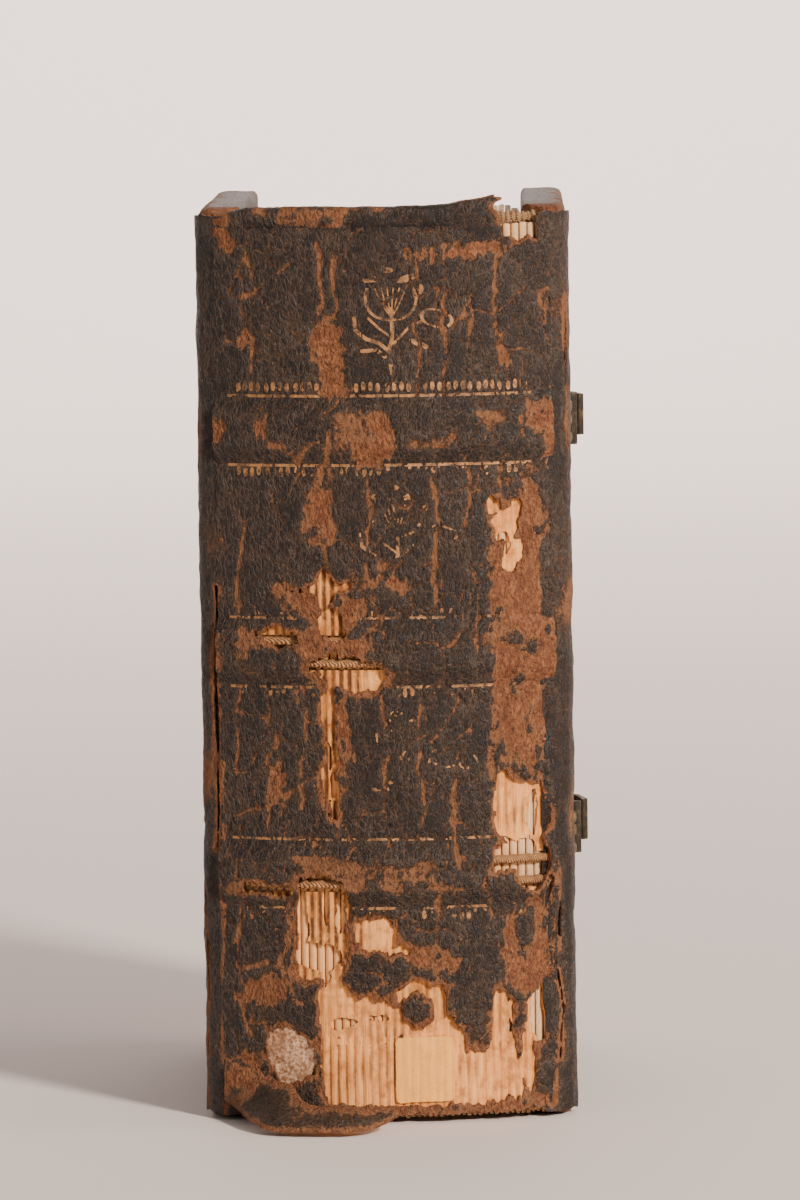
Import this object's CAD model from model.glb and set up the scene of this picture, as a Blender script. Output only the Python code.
"""The looks of a thick old prayer book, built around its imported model.

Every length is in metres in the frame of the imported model: +Z runs from tail to head,
-Y points out of the spine and +X points to the front board. Places on the spine are
given as (s, z) in millimetres: s runs along the curve of the spine from its middle,
positive towards the front board, and z is the height above the tail.
"""

import logging
import math
from dataclasses import dataclass, field
from enum import Enum
from typing import Callable, Optional, Sequence

import bmesh
import bpy
import numpy as np
from mathutils import Matrix, Vector


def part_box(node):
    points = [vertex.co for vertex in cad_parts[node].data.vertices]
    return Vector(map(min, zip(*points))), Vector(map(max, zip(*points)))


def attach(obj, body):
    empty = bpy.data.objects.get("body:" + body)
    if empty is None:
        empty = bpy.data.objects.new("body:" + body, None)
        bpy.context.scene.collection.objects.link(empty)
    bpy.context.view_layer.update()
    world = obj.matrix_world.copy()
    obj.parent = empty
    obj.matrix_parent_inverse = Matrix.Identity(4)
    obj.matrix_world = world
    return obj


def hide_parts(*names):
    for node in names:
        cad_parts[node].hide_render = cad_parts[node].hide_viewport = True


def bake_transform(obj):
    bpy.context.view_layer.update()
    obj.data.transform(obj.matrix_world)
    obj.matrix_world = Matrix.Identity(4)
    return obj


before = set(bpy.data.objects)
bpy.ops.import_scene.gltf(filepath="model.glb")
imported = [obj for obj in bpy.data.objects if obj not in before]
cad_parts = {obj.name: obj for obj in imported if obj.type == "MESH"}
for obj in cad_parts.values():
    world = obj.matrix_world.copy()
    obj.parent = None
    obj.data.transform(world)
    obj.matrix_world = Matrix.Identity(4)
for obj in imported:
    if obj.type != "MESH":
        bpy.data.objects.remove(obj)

MM = 0.001
LOG = logging.getLogger("prayer_book")
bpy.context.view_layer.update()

Array = np.ndarray
Colour = tuple[float, float, float]
Obj = bpy.types.Object
Socket = bpy.types.NodeSocket
Tree = bpy.types.NodeTree


# ---- noise on arrays

def lattice(ix: Array, iy: Array, seed: int) -> Array:
    """Random value from 0 to 1 at each whole-number point.

    Args:
        ix: first whole coordinate.
        iy: second whole coordinate.
        seed: number that picks the pattern.

    Returns:
        An array of values from 0 to 1.
    """
    h = (ix.astype(np.int64) * 374761393 + iy.astype(np.int64) * 668265263 + seed * 974711) & 0xFFFFFFFF
    h = ((h ^ (h >> 13)) * 1274126177) & 0xFFFFFFFF
    h = ((h ^ (h >> 16)) * 2246822519) & 0xFFFFFFFF
    return ((h ^ (h >> 15)) & 0xFFFFFF) / float(0xFFFFFF)


def waves(x: Array, y: Array, size: float, seed: int, octaves: int = 3) -> Array:
    """Smooth noise from about -1 to 1.

    Args:
        x: first coordinate, in millimetres.
        y: second coordinate, in millimetres.
        size: width of the largest swell, in millimetres.
        seed: number that picks the pattern.
        octaves: how many finer layers are added.

    Returns:
        An array of noise values.
    """
    total = np.zeros(np.broadcast(x, y).shape)
    gain = 1.0
    for k in range(octaves):
        u, v = x / size * 2.0**k, y / size * 2.0**k
        iu, iv = np.floor(u), np.floor(v)
        fu, fv = u - iu, v - iv
        fu, fv = fu * fu * (3 - 2 * fu), fv * fv * (3 - 2 * fv)
        a = lattice(iu, iv, seed + k) * (1 - fu) + lattice(iu + 1, iv, seed + k) * fu
        b = lattice(iu, iv + 1, seed + k) * (1 - fu) + lattice(iu + 1, iv + 1, seed + k) * fu
        total += gain * (2 * (a * (1 - fv) + b * fv) - 1)
        gain *= 0.5
    return total


def cell_edges(x: Array, y: Array, wide: float, tall: float, seed: int) -> Array:
    """Distance to the nearest border between random cells, as a share of a cell.

    Args:
        x: first coordinate.
        y: second coordinate.
        wide: mean width of a cell.
        tall: mean height of a cell.
        seed: number that picks the cells.

    Returns:
        An array that is 0 on the borders.
    """
    u, v = x / wide, y / tall
    iu, iv = np.floor(u), np.floor(v)
    near = np.full(u.shape, 9.0)
    second = np.full(u.shape, 9.0)
    for du in (-1, 0, 1):
        for dv in (-1, 0, 1):
            cu, cv = iu + du, iv + dv
            d = np.hypot(cu + lattice(cu, cv, seed) - u, cv + lattice(cu, cv, seed + 7) - v)
            second = np.minimum(second, np.maximum(d, near))
            near = np.minimum(near, d)
    return second - near


def step(low: float, high: float, value: Array) -> Array:
    """Smooth step of `value` from 0 at `low` to 1 at `high`."""
    t = np.clip((value - low) / (high - low), 0, 1)
    return t * t * (3 - 2 * t)


# ---- meshes

def new_object(name: str, points: Array, faces: Sequence, angle: float = 40.0) -> Obj:
    """Makes a mesh object with its place in its mesh.

    Args:
        name: name of the piece.
        points: corner points in metres, one row each.
        faces: rows of corner numbers.
        angle: edges sharper than this many degrees stay sharp.

    Returns:
        The new object, linked to the scene.
    """
    mesh = bpy.data.meshes.new(name)
    rows = faces.tolist() if isinstance(faces, np.ndarray) else [list(f) for f in faces]
    mesh.from_pydata(np.asarray(points, float).tolist(), [], rows)
    mesh.validate()
    mesh.shade_smooth()
    mesh.set_sharp_from_angle(angle=math.radians(angle))
    obj = bpy.data.objects.new(name, mesh)
    bpy.context.scene.collection.objects.link(obj)
    return obj


def outward(obj: Obj) -> Obj:
    """Merges doubles, turns every face outwards and returns the object."""
    bm = bmesh.new()
    bm.from_mesh(obj.data)
    bmesh.ops.remove_doubles(bm, verts=bm.verts, dist=1e-6)
    bmesh.ops.recalc_face_normals(bm, faces=bm.faces)
    bm.to_mesh(obj.data)
    bm.free()
    return obj


def put_values(obj: Obj, name: str, values: Array) -> None:
    """Stores one number per corner point under a name that the materials read."""
    layer = obj.data.attributes.new(name, "FLOAT", "POINT")
    layer.data.foreach_set("value", np.asarray(values, np.float32))


def joined(name: str, objects: list[Obj]) -> Obj:
    """Joins several objects into one and names it."""
    with bpy.context.temp_override(
        active_object=objects[0], object=objects[0], selected_objects=objects,
        selected_editable_objects=objects
    ):
        bpy.ops.object.join()
    objects[0].name = name
    objects[0].data.name = name
    return objects[0]


@dataclass
class Skin:
    """A thin closed sheet over a grid, with ragged holes where its material is gone.

    The sheet lies between two surfaces. Cells whose middle has a negative `solid` value
    are left out, and the corners along the gap are pulled onto the true edge.
    """

    name: str
    columns: Array
    rows: Array
    outside: Callable[[Array, Array], Array]
    inside: Callable[[Array, Array], Array]
    solid: Callable[[Array, Array], Array]
    values: dict[str, Callable[[Array, Array], Array]] = field(default_factory=dict)

    def snapped(self, s: Array, z: Array, kept: Array) -> tuple[Array, Array]:
        """Pulls the corners along the gaps onto the edge of the material."""
        touched = np.zeros((len(self.columns), len(self.rows), 2), bool)
        for di in (0, 1):
            for dj in (0, 1):
                view = touched[di:touched.shape[0] - 1 + di, dj:touched.shape[1] - 1 + dj]
                view[..., 0] |= kept
                view[..., 1] |= ~kept
        rim = touched.all(axis=2)
        ds, dz = self.columns[1] - self.columns[0], self.rows[1] - self.rows[0]
        for _ in range(2):
            d = self.solid(s, z)
            gs = (self.solid(s + 0.1, z) - d) / 0.1
            gz = (self.solid(s, z + 0.1) - d) / 0.1
            size = np.maximum(gs * gs + gz * gz, 0.05)
            s = np.where(rim, s - np.clip(d * gs / size, -0.45 * ds, 0.45 * ds), s)
            z = np.where(rim, z - np.clip(d * gz / size, -0.45 * dz, 0.45 * dz), z)
        return s, z

    def build(self, angle: float = 50.0) -> Obj:
        """Builds the sheet.

        Args:
            angle: edges sharper than this many degrees stay sharp.

        Returns:
            The new object.
        """
        s, z = np.meshgrid(self.columns, self.rows, indexing="ij")
        middle_s = (s[1:, 1:] + s[:-1, :-1]) / 2
        middle_z = (z[1:, 1:] + z[:-1, :-1]) / 2
        kept = self.solid(middle_s, middle_z) > 0
        s, z = self.snapped(s, z, kept)
        count = s.size
        index = np.arange(count).reshape(s.shape)
        quads = np.stack([index[:-1, :-1], index[1:, :-1], index[1:, 1:], index[:-1, 1:]], axis=-1)[kept]
        edges = np.concatenate([quads[:, [k, (k + 1) % 4]] for k in range(4)])
        key = edges[:, 0] * count + edges[:, 1]
        back = edges[:, 1] * count + edges[:, 0]
        rim = edges[~np.isin(key, back)]
        walls = np.stack([rim[:, 1], rim[:, 0], rim[:, 0] + count, rim[:, 1] + count], axis=-1)
        faces = np.concatenate([quads, quads[:, ::-1] + count, walls])
        points = np.concatenate([self.outside(s, z).reshape(-1, 3), self.inside(s, z).reshape(-1, 3)])
        used, faces = np.unique(faces, return_inverse=True)
        faces = faces.reshape(-1, 4)
        obj = new_object(self.name, points[used] * MM, faces, angle)
        for key_name, function in self.values.items():
            both = np.tile(function(s, z).ravel(), 2)
            put_values(obj, key_name, both[used])
        side = np.concatenate([np.zeros(count), np.ones(count)])
        put_values(obj, "inner", side[used])
        return obj


def box_lattice(nx: int, ny: int, nz: int) -> tuple[Array, Array]:
    """Corner numbers and faces of the surface of a block of cells.

    Args:
        nx: cells across.
        ny: cells along.
        nz: cells up.

    Returns:
        Whole coordinates of the surface points, and quads that face outwards.
    """
    index = -np.ones((nx + 1, ny + 1, nz + 1), int)
    i, j, k = np.meshgrid(range(nx + 1), range(ny + 1), range(nz + 1), indexing="ij")
    shell = (i == 0) | (i == nx) | (j == 0) | (j == ny) | (k == 0) | (k == nz)
    index[shell] = np.arange(shell.sum())
    quads = []
    for axis in range(3):
        for end in (0, 1):
            layer = np.take(index, -1 if end else 0, axis=axis)
            q = np.stack(
                [layer[:-1, :-1], layer[1:, :-1], layer[1:, 1:], layer[:-1, 1:]], axis=-1
            ).reshape(-1, 4)
            quads.append(q if (end == 1) != (axis == 1) else q[:, ::-1])
    return np.stack([i[shell], j[shell], k[shell]], axis=-1), np.concatenate(quads)


# ---- materials

class Wires:
    """Adds nodes to one tree and links them."""

    def __init__(self, tree: Tree) -> None:
        """Keeps the tree."""
        self.tree = tree

    def put(self, socket: Socket, value: object) -> None:
        """Links a socket into another, or sets its plain value."""
        if isinstance(value, Socket):
            self.tree.links.new(value, socket)
        elif isinstance(value, tuple) and len(value) == 3 and socket.type == "RGBA":
            socket.default_value = (*value, 1.0)
        elif value is not None:
            socket.default_value = value

    def node(self, kind: str, inputs: Optional[dict] = None, **settings: object) -> bpy.types.Node:
        """Adds a node, sets its properties and fills its inputs.

        Args:
            kind: Blender's name of the node type.
            inputs: values or sockets by input name or number.
            **settings: properties of the node.

        Returns:
            The node.
        """
        node = self.tree.nodes.new(kind)
        for key, value in settings.items():
            setattr(node, key, value)
        for key, value in (inputs or {}).items():
            self.put(node.inputs[key], value)
        return node

    def math(self, how: str, a: object, b: object = None, c: object = None, clamp: bool = False) -> Socket:
        """One arithmetic step."""
        return self.node("ShaderNodeMath", {0: a, 1: b, 2: c}, operation=how, use_clamp=clamp).outputs[0]

    def blend(self, amount: object, a: object, b: object, how: str = "MIX") -> Socket:
        """Mixes two colours."""
        node = self.node("ShaderNodeMix", None, data_type="RGBA", blend_type=how)
        self.put(node.inputs[0], amount)
        self.put(node.inputs[6], a)
        self.put(node.inputs[7], b)
        return node.outputs[2]

    def span(
        self, value: object, low: object, high: object, to_low: float = 0.0, to_high: float = 1.0
    ) -> Socket:
        """Maps a range of values smoothly onto another."""
        inputs = {0: value, 1: low, 2: high, 3: to_low, 4: to_high}
        return self.node("ShaderNodeMapRange", inputs, interpolation_type="SMOOTHSTEP").outputs[0]

    def places(self) -> Socket:
        """Object coordinates, in millimetres."""
        where = self.node("ShaderNodeTexCoord").outputs["Object"]
        return self.node("ShaderNodeVectorMath", {0: where, 3: 1000.0}, operation="SCALE").outputs[0]

    def stretched(self, vector: object, x: float, y: float, z: float) -> Socket:
        """Multiplies the three parts of a vector."""
        return self.node("ShaderNodeVectorMath", {0: vector, 1: (x, y, z)}, operation="MULTIPLY").outputs[0]

    def noise(
        self, vector: object, scale: float, detail: float = 3.0, rough: float = 0.55, bend: float = 0.0
    ) -> Socket:
        """Noise from 0 to 1."""
        inputs = {"Vector": vector, "Scale": scale, "Detail": detail, "Roughness": rough, "Distortion": bend}
        return self.node("ShaderNodeTexNoise", inputs).outputs[0]

    def value(self, name: str) -> Socket:
        """A number stored on the mesh."""
        return self.node("ShaderNodeAttribute", attribute_name=name).outputs["Fac"]

    def bump(self, height: object, depth: float, strength: float = 1.0, normal: object = None) -> Socket:
        """A normal from a height, `depth` metres for a height of 1."""
        inputs = {"Strength": strength, "Distance": depth, "Height": height}
        node = self.node("ShaderNodeBump", inputs)
        if normal is not None:
            self.put(node.inputs["Normal"], normal)
        return node.outputs[0]


def shader_group(
    name: str, inputs: dict[str, tuple[str, object]], outputs: dict[str, str]
) -> tuple[Tree, Wires, dict, dict]:
    """Starts a shader node group.

    Args:
        name: name of the group.
        inputs: socket kind and default value by input name.
        outputs: socket kind by output name.

    Returns:
        The tree, its wires, its inputs by name and its output sockets by name.
    """
    tree = bpy.data.node_groups.new(name, "ShaderNodeTree")
    for key, (kind, default) in inputs.items():
        socket = tree.interface.new_socket(name=key, in_out="INPUT", socket_type=kind)
        if default is not None:
            socket.default_value = default
    for key, kind in outputs.items():
        tree.interface.new_socket(name=key, in_out="OUTPUT", socket_type=kind)
    start = tree.nodes.new("NodeGroupInput")
    end = tree.nodes.new("NodeGroupOutput")
    return tree, Wires(tree), {k: start.outputs[k] for k in inputs}, {k: end.inputs[k] for k in outputs}


FLOAT, VECTOR, COLOUR = "NodeSocketFloat", "NodeSocketVector", "NodeSocketColor"


class Effects:
    """The shader effects that several materials share, each built once."""

    def __init__(self) -> None:
        """Builds the groups."""
        self.crackle = self.make_crackle()
        self.grain = self.make_grain()
        self.stain = self.make_stain()

    @staticmethod
    def make_crackle() -> Tree:
        """Network of fine cracks in a dry skin: a line mask and a height."""
        tree, w, i, o = shader_group(
            "dry_crackle",
            {"Vector": (VECTOR, None), "Scale": (FLOAT, 0.4), "Width": (FLOAT, 0.06), "Warp": (FLOAT, 0.6)},
            {"Line": FLOAT, "Height": FLOAT},
        )
        bend = w.node("ShaderNodeTexNoise", {"Vector": i["Vector"], "Scale": 0.9, "Detail": 3.0}).outputs[1]
        centred = w.node(
            "ShaderNodeVectorMath", {0: bend, 1: (0.5, 0.5, 0.5)}, operation="SUBTRACT"
        ).outputs[0]
        pushed = w.node("ShaderNodeVectorMath", {0: centred, 3: i["Warp"]}, operation="SCALE").outputs[0]
        place = w.node("ShaderNodeVectorMath", {0: i["Vector"], 1: pushed}, operation="ADD").outputs[0]
        cell = w.node(
            "ShaderNodeTexVoronoi", {"Vector": place, "Scale": i["Scale"]}, feature="DISTANCE_TO_EDGE"
        )
        line = w.span(cell.outputs["Distance"], 0.0, i["Width"], 1.0, 0.0)
        w.put(o["Line"], line)
        w.put(o["Height"], w.math("MULTIPLY", line, -1.0))
        return tree

    @staticmethod
    def make_grain() -> Tree:
        """Small pebbles of a leather's grain: a height from 0 to 1."""
        tree, w, i, o = shader_group(
            "hide_grain", {"Vector": (VECTOR, None), "Scale": (FLOAT, 2.2)}, {"Height": FLOAT}
        )
        coarse = w.node(
            "ShaderNodeTexVoronoi", {"Vector": i["Vector"], "Scale": i["Scale"]}, feature="SMOOTH_F1"
        ).outputs["Distance"]
        fine = w.noise(i["Vector"], 3.6, 4.0, 0.65)
        w.put(o["Height"], w.math("ADD", w.math("MULTIPLY", coarse, 0.6), w.math("MULTIPLY", fine, 0.5)))
        return tree

    @staticmethod
    def make_stain() -> Tree:
        """Blotches of two sizes on old paper or cloth: a mask from 0 to 1."""
        tree, w, i, o = shader_group(
            "old_stain", {"Vector": (VECTOR, None), "Scale": (FLOAT, 0.12)}, {"Mask": FLOAT}
        )
        wide = w.node(
            "ShaderNodeTexNoise", {"Vector": i["Vector"], "Scale": i["Scale"], "Detail": 4.0}
        ).outputs[0]
        spots = w.span(w.noise(i["Vector"], 0.9, 3.0, 0.6), 0.58, 0.75)
        total = w.math("ADD", w.span(wide, 0.35, 0.7), w.math("MULTIPLY", spots, 0.4), clamp=True)
        w.put(o["Mask"], total)
        return tree

    def use(self, w: Wires, tree: Tree, inputs: dict) -> bpy.types.Node:
        """Places one of the groups in a material."""
        node = w.tree.nodes.new("ShaderNodeGroup")
        node.node_tree = tree
        for key, value in inputs.items():
            w.put(node.inputs[key], value)
        return node


def new_material(name: str) -> tuple[bpy.types.Material, Wires, bpy.types.Node]:
    """Starts a material.

    Args:
        name: name of the finish.

    Returns:
        The material, its wires and its Principled shader.
    """
    material = bpy.data.materials.new(name)
    material.use_nodes = True
    tree = material.node_tree
    return material, Wires(tree), tree.nodes["Principled BSDF"]


def finish_with(obj: Obj, material: bpy.types.Material) -> Obj:
    """Gives an object one material."""
    obj.data.materials.clear()
    obj.data.materials.append(material)
    return obj


@dataclass(frozen=True)
class OldLeather:
    """Dark dry leather whose grain layer has cracked into flakes and partly worn away."""

    name: str
    dark: Colour = (0.0062, 0.0048, 0.0046)
    dull: Colour = (0.022, 0.0145, 0.0105)
    vein: Colour = (0.13, 0.070, 0.038)
    flesh: Colour = (0.110, 0.034, 0.012)
    flesh_light: Colour = (0.27, 0.107, 0.042)
    crack: Colour = (0.095, 0.047, 0.024)
    inside: Colour = (0.13, 0.06, 0.03)
    wear: float = 0.0
    rough: float = 0.50

    def make(self, effects: Effects) -> bpy.types.Material:
        """Builds the material."""
        material, w, skin = new_material(self.name)
        place = w.places()
        tall = w.stretched(place, 1.0, 1.0, 0.55)
        ragged = w.math("SUBTRACT", w.noise(tall, 1.2, 6.0, 0.74), 0.5)
        small = w.math("SUBTRACT", w.noise(place, 3.6, 4.0, 0.66), 0.5)
        edge = w.math("ADD", w.math("MULTIPLY", ragged, 2.4), w.math("MULTIPLY", small, 1.6))
        gone = w.math("ADD", w.math("ADD", w.value("bare"), edge), self.wear)
        mask = w.span(gone, -0.10, 0.16)
        tired = w.math("MULTIPLY", w.span(w.noise(tall, 0.16, 4.0, 0.6), 0.40, 0.72), 0.16)
        width = w.math("ADD", w.math("ADD", tired, 0.03), w.span(gone, -2.0, 0.1, 0.0, 0.30))
        flakes = effects.use(w, effects.crackle, {"Vector": tall, "Scale": 1.05, "Width": width, "Warp": 1.1})
        crumbs = effects.use(w, effects.crackle, {"Vector": tall, "Scale": 2.6, "Width": width, "Warp": 0.7})
        veins = effects.use(w, effects.crackle, {"Vector": tall, "Scale": 0.27, "Width": 0.035, "Warp": 2.6})
        grain = effects.use(w, effects.grain, {"Vector": place, "Scale": 1.9}).outputs[0]
        seen = w.span(w.noise(place, 0.2, 3.0), 0.34, 0.56)
        vein_mask = w.math("MULTIPLY", veins.outputs[0], seen)
        mottle = w.span(w.noise(place, 0.42, 5.0, 0.65), 0.36, 0.68)
        fibre = w.noise(w.stretched(place, 1.2, 1.2, 0.8), 1.5, 5.0, 0.7)
        speck = w.span(w.noise(place, 1.5, 4.0, 0.75), 0.58, 0.70)
        ground = w.blend(fibre, self.dull, self.vein)
        surface = w.blend(mottle, self.dark, self.dull)
        surface = w.blend(w.math("MULTIPLY", crumbs.outputs[0], 0.14), surface, ground)
        surface = w.blend(w.math("MULTIPLY", flakes.outputs[0], 0.50), surface, ground)
        surface = w.blend(w.math("MULTIPLY", speck, 0.45), surface, self.vein)
        surface = w.blend(w.math("MULTIPLY", vein_mask, 0.85), surface, self.crack)
        raw = w.blend(w.span(fibre, 0.36, 0.66), self.flesh, self.flesh_light)
        raw = w.blend(w.span(w.noise(place, 0.33, 4.0), 0.42, 0.72, 0.0, 0.75), raw, self.flesh)
        raw = w.blend(w.span(w.noise(tall, 1.5, 4.0, 0.7), 0.56, 0.70, 0.0, 0.75), raw, self.dull)
        raw = w.blend(w.span(w.noise(place, 3.4, 3.0), 0.62, 0.76, 0.0, 0.55), raw, self.flesh_light)
        raw = w.blend(w.span(w.value("bare"), 0.25, 0.9), w.blend(fibre, self.crack, self.flesh_light), raw)
        colour = w.blend(mask, surface, raw)
        back = w.blend(fibre, self.inside, self.flesh_light)
        colour = w.blend(w.span(w.value("inner"), 0.1, 0.6), colour, back)
        w.put(skin.inputs["Base Color"], colour)
        gloss = w.math(
            "ADD", w.span(grain, 0.3, 0.8, self.rough - 0.12, self.rough + 0.14),
            w.math("MULTIPLY", mask, 0.34)
        )
        w.put(skin.inputs["Roughness"], gloss)
        skin.inputs["Specular IOR Level"].default_value = 0.36
        level = w.math("ADD", w.math("MULTIPLY", grain, 0.30), w.math("MULTIPLY", flakes.outputs[1], 0.55))
        level = w.math("ADD", level, w.math("MULTIPLY", vein_mask, -0.6))
        level = w.math("ADD", level, w.math("MULTIPLY", crumbs.outputs[1], 0.25))
        level = w.math("ADD", level, w.math("MULTIPLY", mask, -0.7))
        level = w.math("ADD", level, w.math("MULTIPLY", fibre, 0.22))
        w.put(skin.inputs["Normal"], w.bump(level, 0.00036))
        return material


@dataclass(frozen=True)
class OldPaper:
    """Aged paper or parchment: edges of leaves, folds, linings or endpapers."""

    name: str
    pale: Colour = (0.72, 0.47, 0.27)
    warm: Colour = (0.55, 0.30, 0.14)
    soil: Colour = (0.20, 0.105, 0.05)
    aged: Colour = (0.86, 0.42, 0.15)
    streak: tuple[float, float, float] = (1.0, 1.0, 0.06)
    soiled: float = 0.5
    rough: float = 0.85

    def make(self, effects: Effects) -> bpy.types.Material:
        """Builds the material."""
        material, w, skin = new_material(self.name)
        place = w.places()
        along = w.stretched(place, *self.streak)
        lines = w.noise(along, 1.8, 4.0, 0.6)
        stain = effects.use(w, effects.stain, {"Vector": place, "Scale": 0.13}).outputs[0]
        speck = w.span(w.noise(place, 2.8, 3.0, 0.6), 0.62, 0.72)
        colour = w.blend(w.span(lines, 0.35, 0.68), self.pale, self.warm)
        colour = w.blend(w.math("MULTIPLY", stain, 0.42), colour, self.warm)
        colour = w.blend(w.math("MULTIPLY", speck, 0.35), colour, self.soil)
        colour = w.blend(w.math("MULTIPLY", w.value("aged"), 0.85), colour, self.aged)
        groove = w.math("MULTIPLY", w.value("groove"), w.span(w.noise(place, 0.9, 3.0), 0.3, 0.6, 0.55, 1.0))
        colour = w.blend(w.math("MULTIPLY", groove, 0.9, clamp=True), colour, self.soil)
        dirt = w.math("MULTIPLY", w.span(w.noise(place, 0.35, 5.0, 0.65), 0.46, 0.7), self.soiled)
        colour = w.blend(dirt, colour, w.blend(0.5, self.soil, self.warm))
        w.put(skin.inputs["Base Color"], colour)
        skin.inputs["Roughness"].default_value = self.rough
        skin.inputs["Specular IOR Level"].default_value = 0.2
        height = w.math(
            "ADD", w.math("MULTIPLY", lines, 0.7), w.math("MULTIPLY", w.noise(place, 2.4, 4.0), 0.5)
        )
        w.put(skin.inputs["Normal"], w.bump(height, 0.00018))
        return material


@dataclass(frozen=True)
class Thread:
    """Twisted cord or wound silk."""

    name: str
    pale: Colour = (0.58, 0.29, 0.12)
    deep: Colour = (0.22, 0.09, 0.03)
    lay: tuple[float, float, float] = (3.0, 3.0, 2.0)

    def make(self, effects: Effects) -> bpy.types.Material:
        """Builds the material."""
        material, w, skin = new_material(self.name)
        place = w.places()
        inputs = {"Vector": w.stretched(place, *self.lay), "Scale": 0.35, "Distortion": 1.5, "Detail": 2.0}
        wave = w.node("ShaderNodeTexWave", inputs, wave_type="BANDS", bands_direction="DIAGONAL")
        wave = wave.outputs["Fac"]
        hair = w.noise(place, 5.0, 4.0, 0.7)
        soil = w.span(w.noise(place, 0.6, 4.0), 0.42, 0.68)
        colour = w.blend(w.span(wave, 0.1, 0.75), self.deep, self.pale)
        colour = w.blend(w.math("MULTIPLY", soil, 0.6), colour, self.deep)
        w.put(skin.inputs["Base Color"], colour)
        skin.inputs["Roughness"].default_value = 0.82
        w.put(skin.inputs["Normal"], w.bump(w.math("ADD", wave, w.math("MULTIPLY", hair, 0.5)), 0.00022))
        return material


@dataclass(frozen=True)
class OldMetal:
    """Brass or gold leaf with tarnish in its hollows."""

    name: str
    bright: Colour = (0.62, 0.42, 0.17)
    tarnish: Colour = (0.12, 0.075, 0.035)
    rough: float = 0.38
    worn: float = 0.5
    metal: float = 1.0

    def make(self, effects: Effects) -> bpy.types.Material:
        """Builds the material."""
        material, w, skin = new_material(self.name)
        place = w.places()
        patch = w.span(w.noise(place, 0.55, 6.0, 0.68), self.worn - 0.14, self.worn + 0.16)
        fine = w.noise(place, 4.0, 4.0, 0.7)
        mask = w.math("MULTIPLY", patch, w.span(fine, 0.25, 0.6, 0.5, 1.0))
        w.put(skin.inputs["Base Color"], w.blend(mask, self.bright, self.tarnish))
        w.put(skin.inputs["Roughness"], w.span(mask, 0.0, 1.0, self.rough, 0.8))
        w.put(skin.inputs["Metallic"], w.span(mask, 0.0, 1.0, self.metal, self.metal * 0.45))
        scratch = w.noise(w.stretched(place, 0.5, 0.5, 5.0), 3.0, 3.0)
        w.put(skin.inputs["Normal"], w.bump(w.math("ADD", fine, w.math("MULTIPLY", scratch, 0.5)), 0.00007))
        return material


@dataclass(frozen=True)
class OldWood:
    """Oak of the boards and pegs."""

    name: str
    light: Colour = (0.26, 0.14, 0.06)
    dark: Colour = (0.10, 0.05, 0.022)

    def make(self, effects: Effects) -> bpy.types.Material:
        """Builds the material."""
        material, w, skin = new_material(self.name)
        place = w.places()
        ring = w.noise(w.stretched(place, 1.0, 1.0, 0.04), 0.6, 5.0, 0.6, 0.8)
        pore = w.span(w.noise(w.stretched(place, 2.0, 2.0, 0.1), 3.0, 3.0), 0.55, 0.7)
        colour = w.blend(w.span(ring, 0.35, 0.65), self.light, self.dark)
        colour = w.blend(w.math("MULTIPLY", pore, 0.7), colour, self.dark)
        w.put(skin.inputs["Base Color"], colour)
        skin.inputs["Roughness"].default_value = 0.75
        w.put(skin.inputs["Normal"], w.bump(w.math("SUBTRACT", ring, pore), 0.0001))
        return material


@dataclass(frozen=True)
class StudioPaper:
    """Plain pale surface that the book stands on."""

    name: str
    colour: Colour = (0.80, 0.70, 0.65)

    def make(self) -> bpy.types.Material:
        """Builds the material."""
        material, w, skin = new_material(self.name)
        place = w.node("ShaderNodeTexCoord").outputs["Object"]
        tooth = w.noise(place, 900.0, 2.0)
        w.put(
            skin.inputs["Base Color"],
            w.blend(w.span(tooth, 0.3, 0.7, 0.0, 0.06), self.colour, (0.5, 0.46, 0.44))
        )
        skin.inputs["Roughness"].default_value = 0.9
        return material


# ---- where things are

def low(node: str) -> Array:
    """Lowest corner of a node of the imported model, in millimetres."""
    return np.array(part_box(node)[0]) / MM


def high(node: str) -> Array:
    """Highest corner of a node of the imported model, in millimetres."""
    return np.array(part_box(node)[1]) / MM


@dataclass(frozen=True)
class SpineRound:
    """The round of the spine and what lies in its layers, as radii in millimetres."""

    leather: float = 64.1
    leather_in: float = 63.0
    folds: float = 62.5
    lining: float = 62.95
    band_width: float = 10.0
    axis_y: float = field(default_factory=lambda: float(low("spine_lining_2")[1]) + 62.95)
    bulge: float = field(
        default_factory=lambda: float(low("spine_lining_2")[1] - low("spine_leather")[1]) - 1.15
    )
    bottom: float = field(default_factory=lambda: float(low("spine_leather")[2]))
    top: float = field(default_factory=lambda: float(high("spine_leather")[2]))
    edge: float = 31.9
    bands: tuple[float, ...] = field(
        default_factory=lambda: tuple(
            float(low(f"sewing_cord_{n}")[2] + high(f"sewing_cord_{n}")[2]) / 2 for n in (1, 2, 3)
        )
    )

    def point(self, s: Array, z: Array, radius: Array) -> Array:
        """Points of the frame, in millimetres, from places along the spine."""
        turn = s / self.leather
        return np.stack([radius * np.sin(turn), self.axis_y - radius * np.cos(turn), z + 0 * turn], axis=-1)

    def rise(self, z: Array) -> Array:
        """Height of the bands over the plain leather at the height z."""
        total = np.zeros(np.shape(z))
        for band in self.bands:
            d = np.abs(z - band)
            swell = step(self.band_width / 2 + 1.2, self.band_width / 2 - 2.1, d)
            total += swell * (self.bulge - 0.2 + 0.2 * np.sin(d * 0.8) ** 2)
        return total


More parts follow.
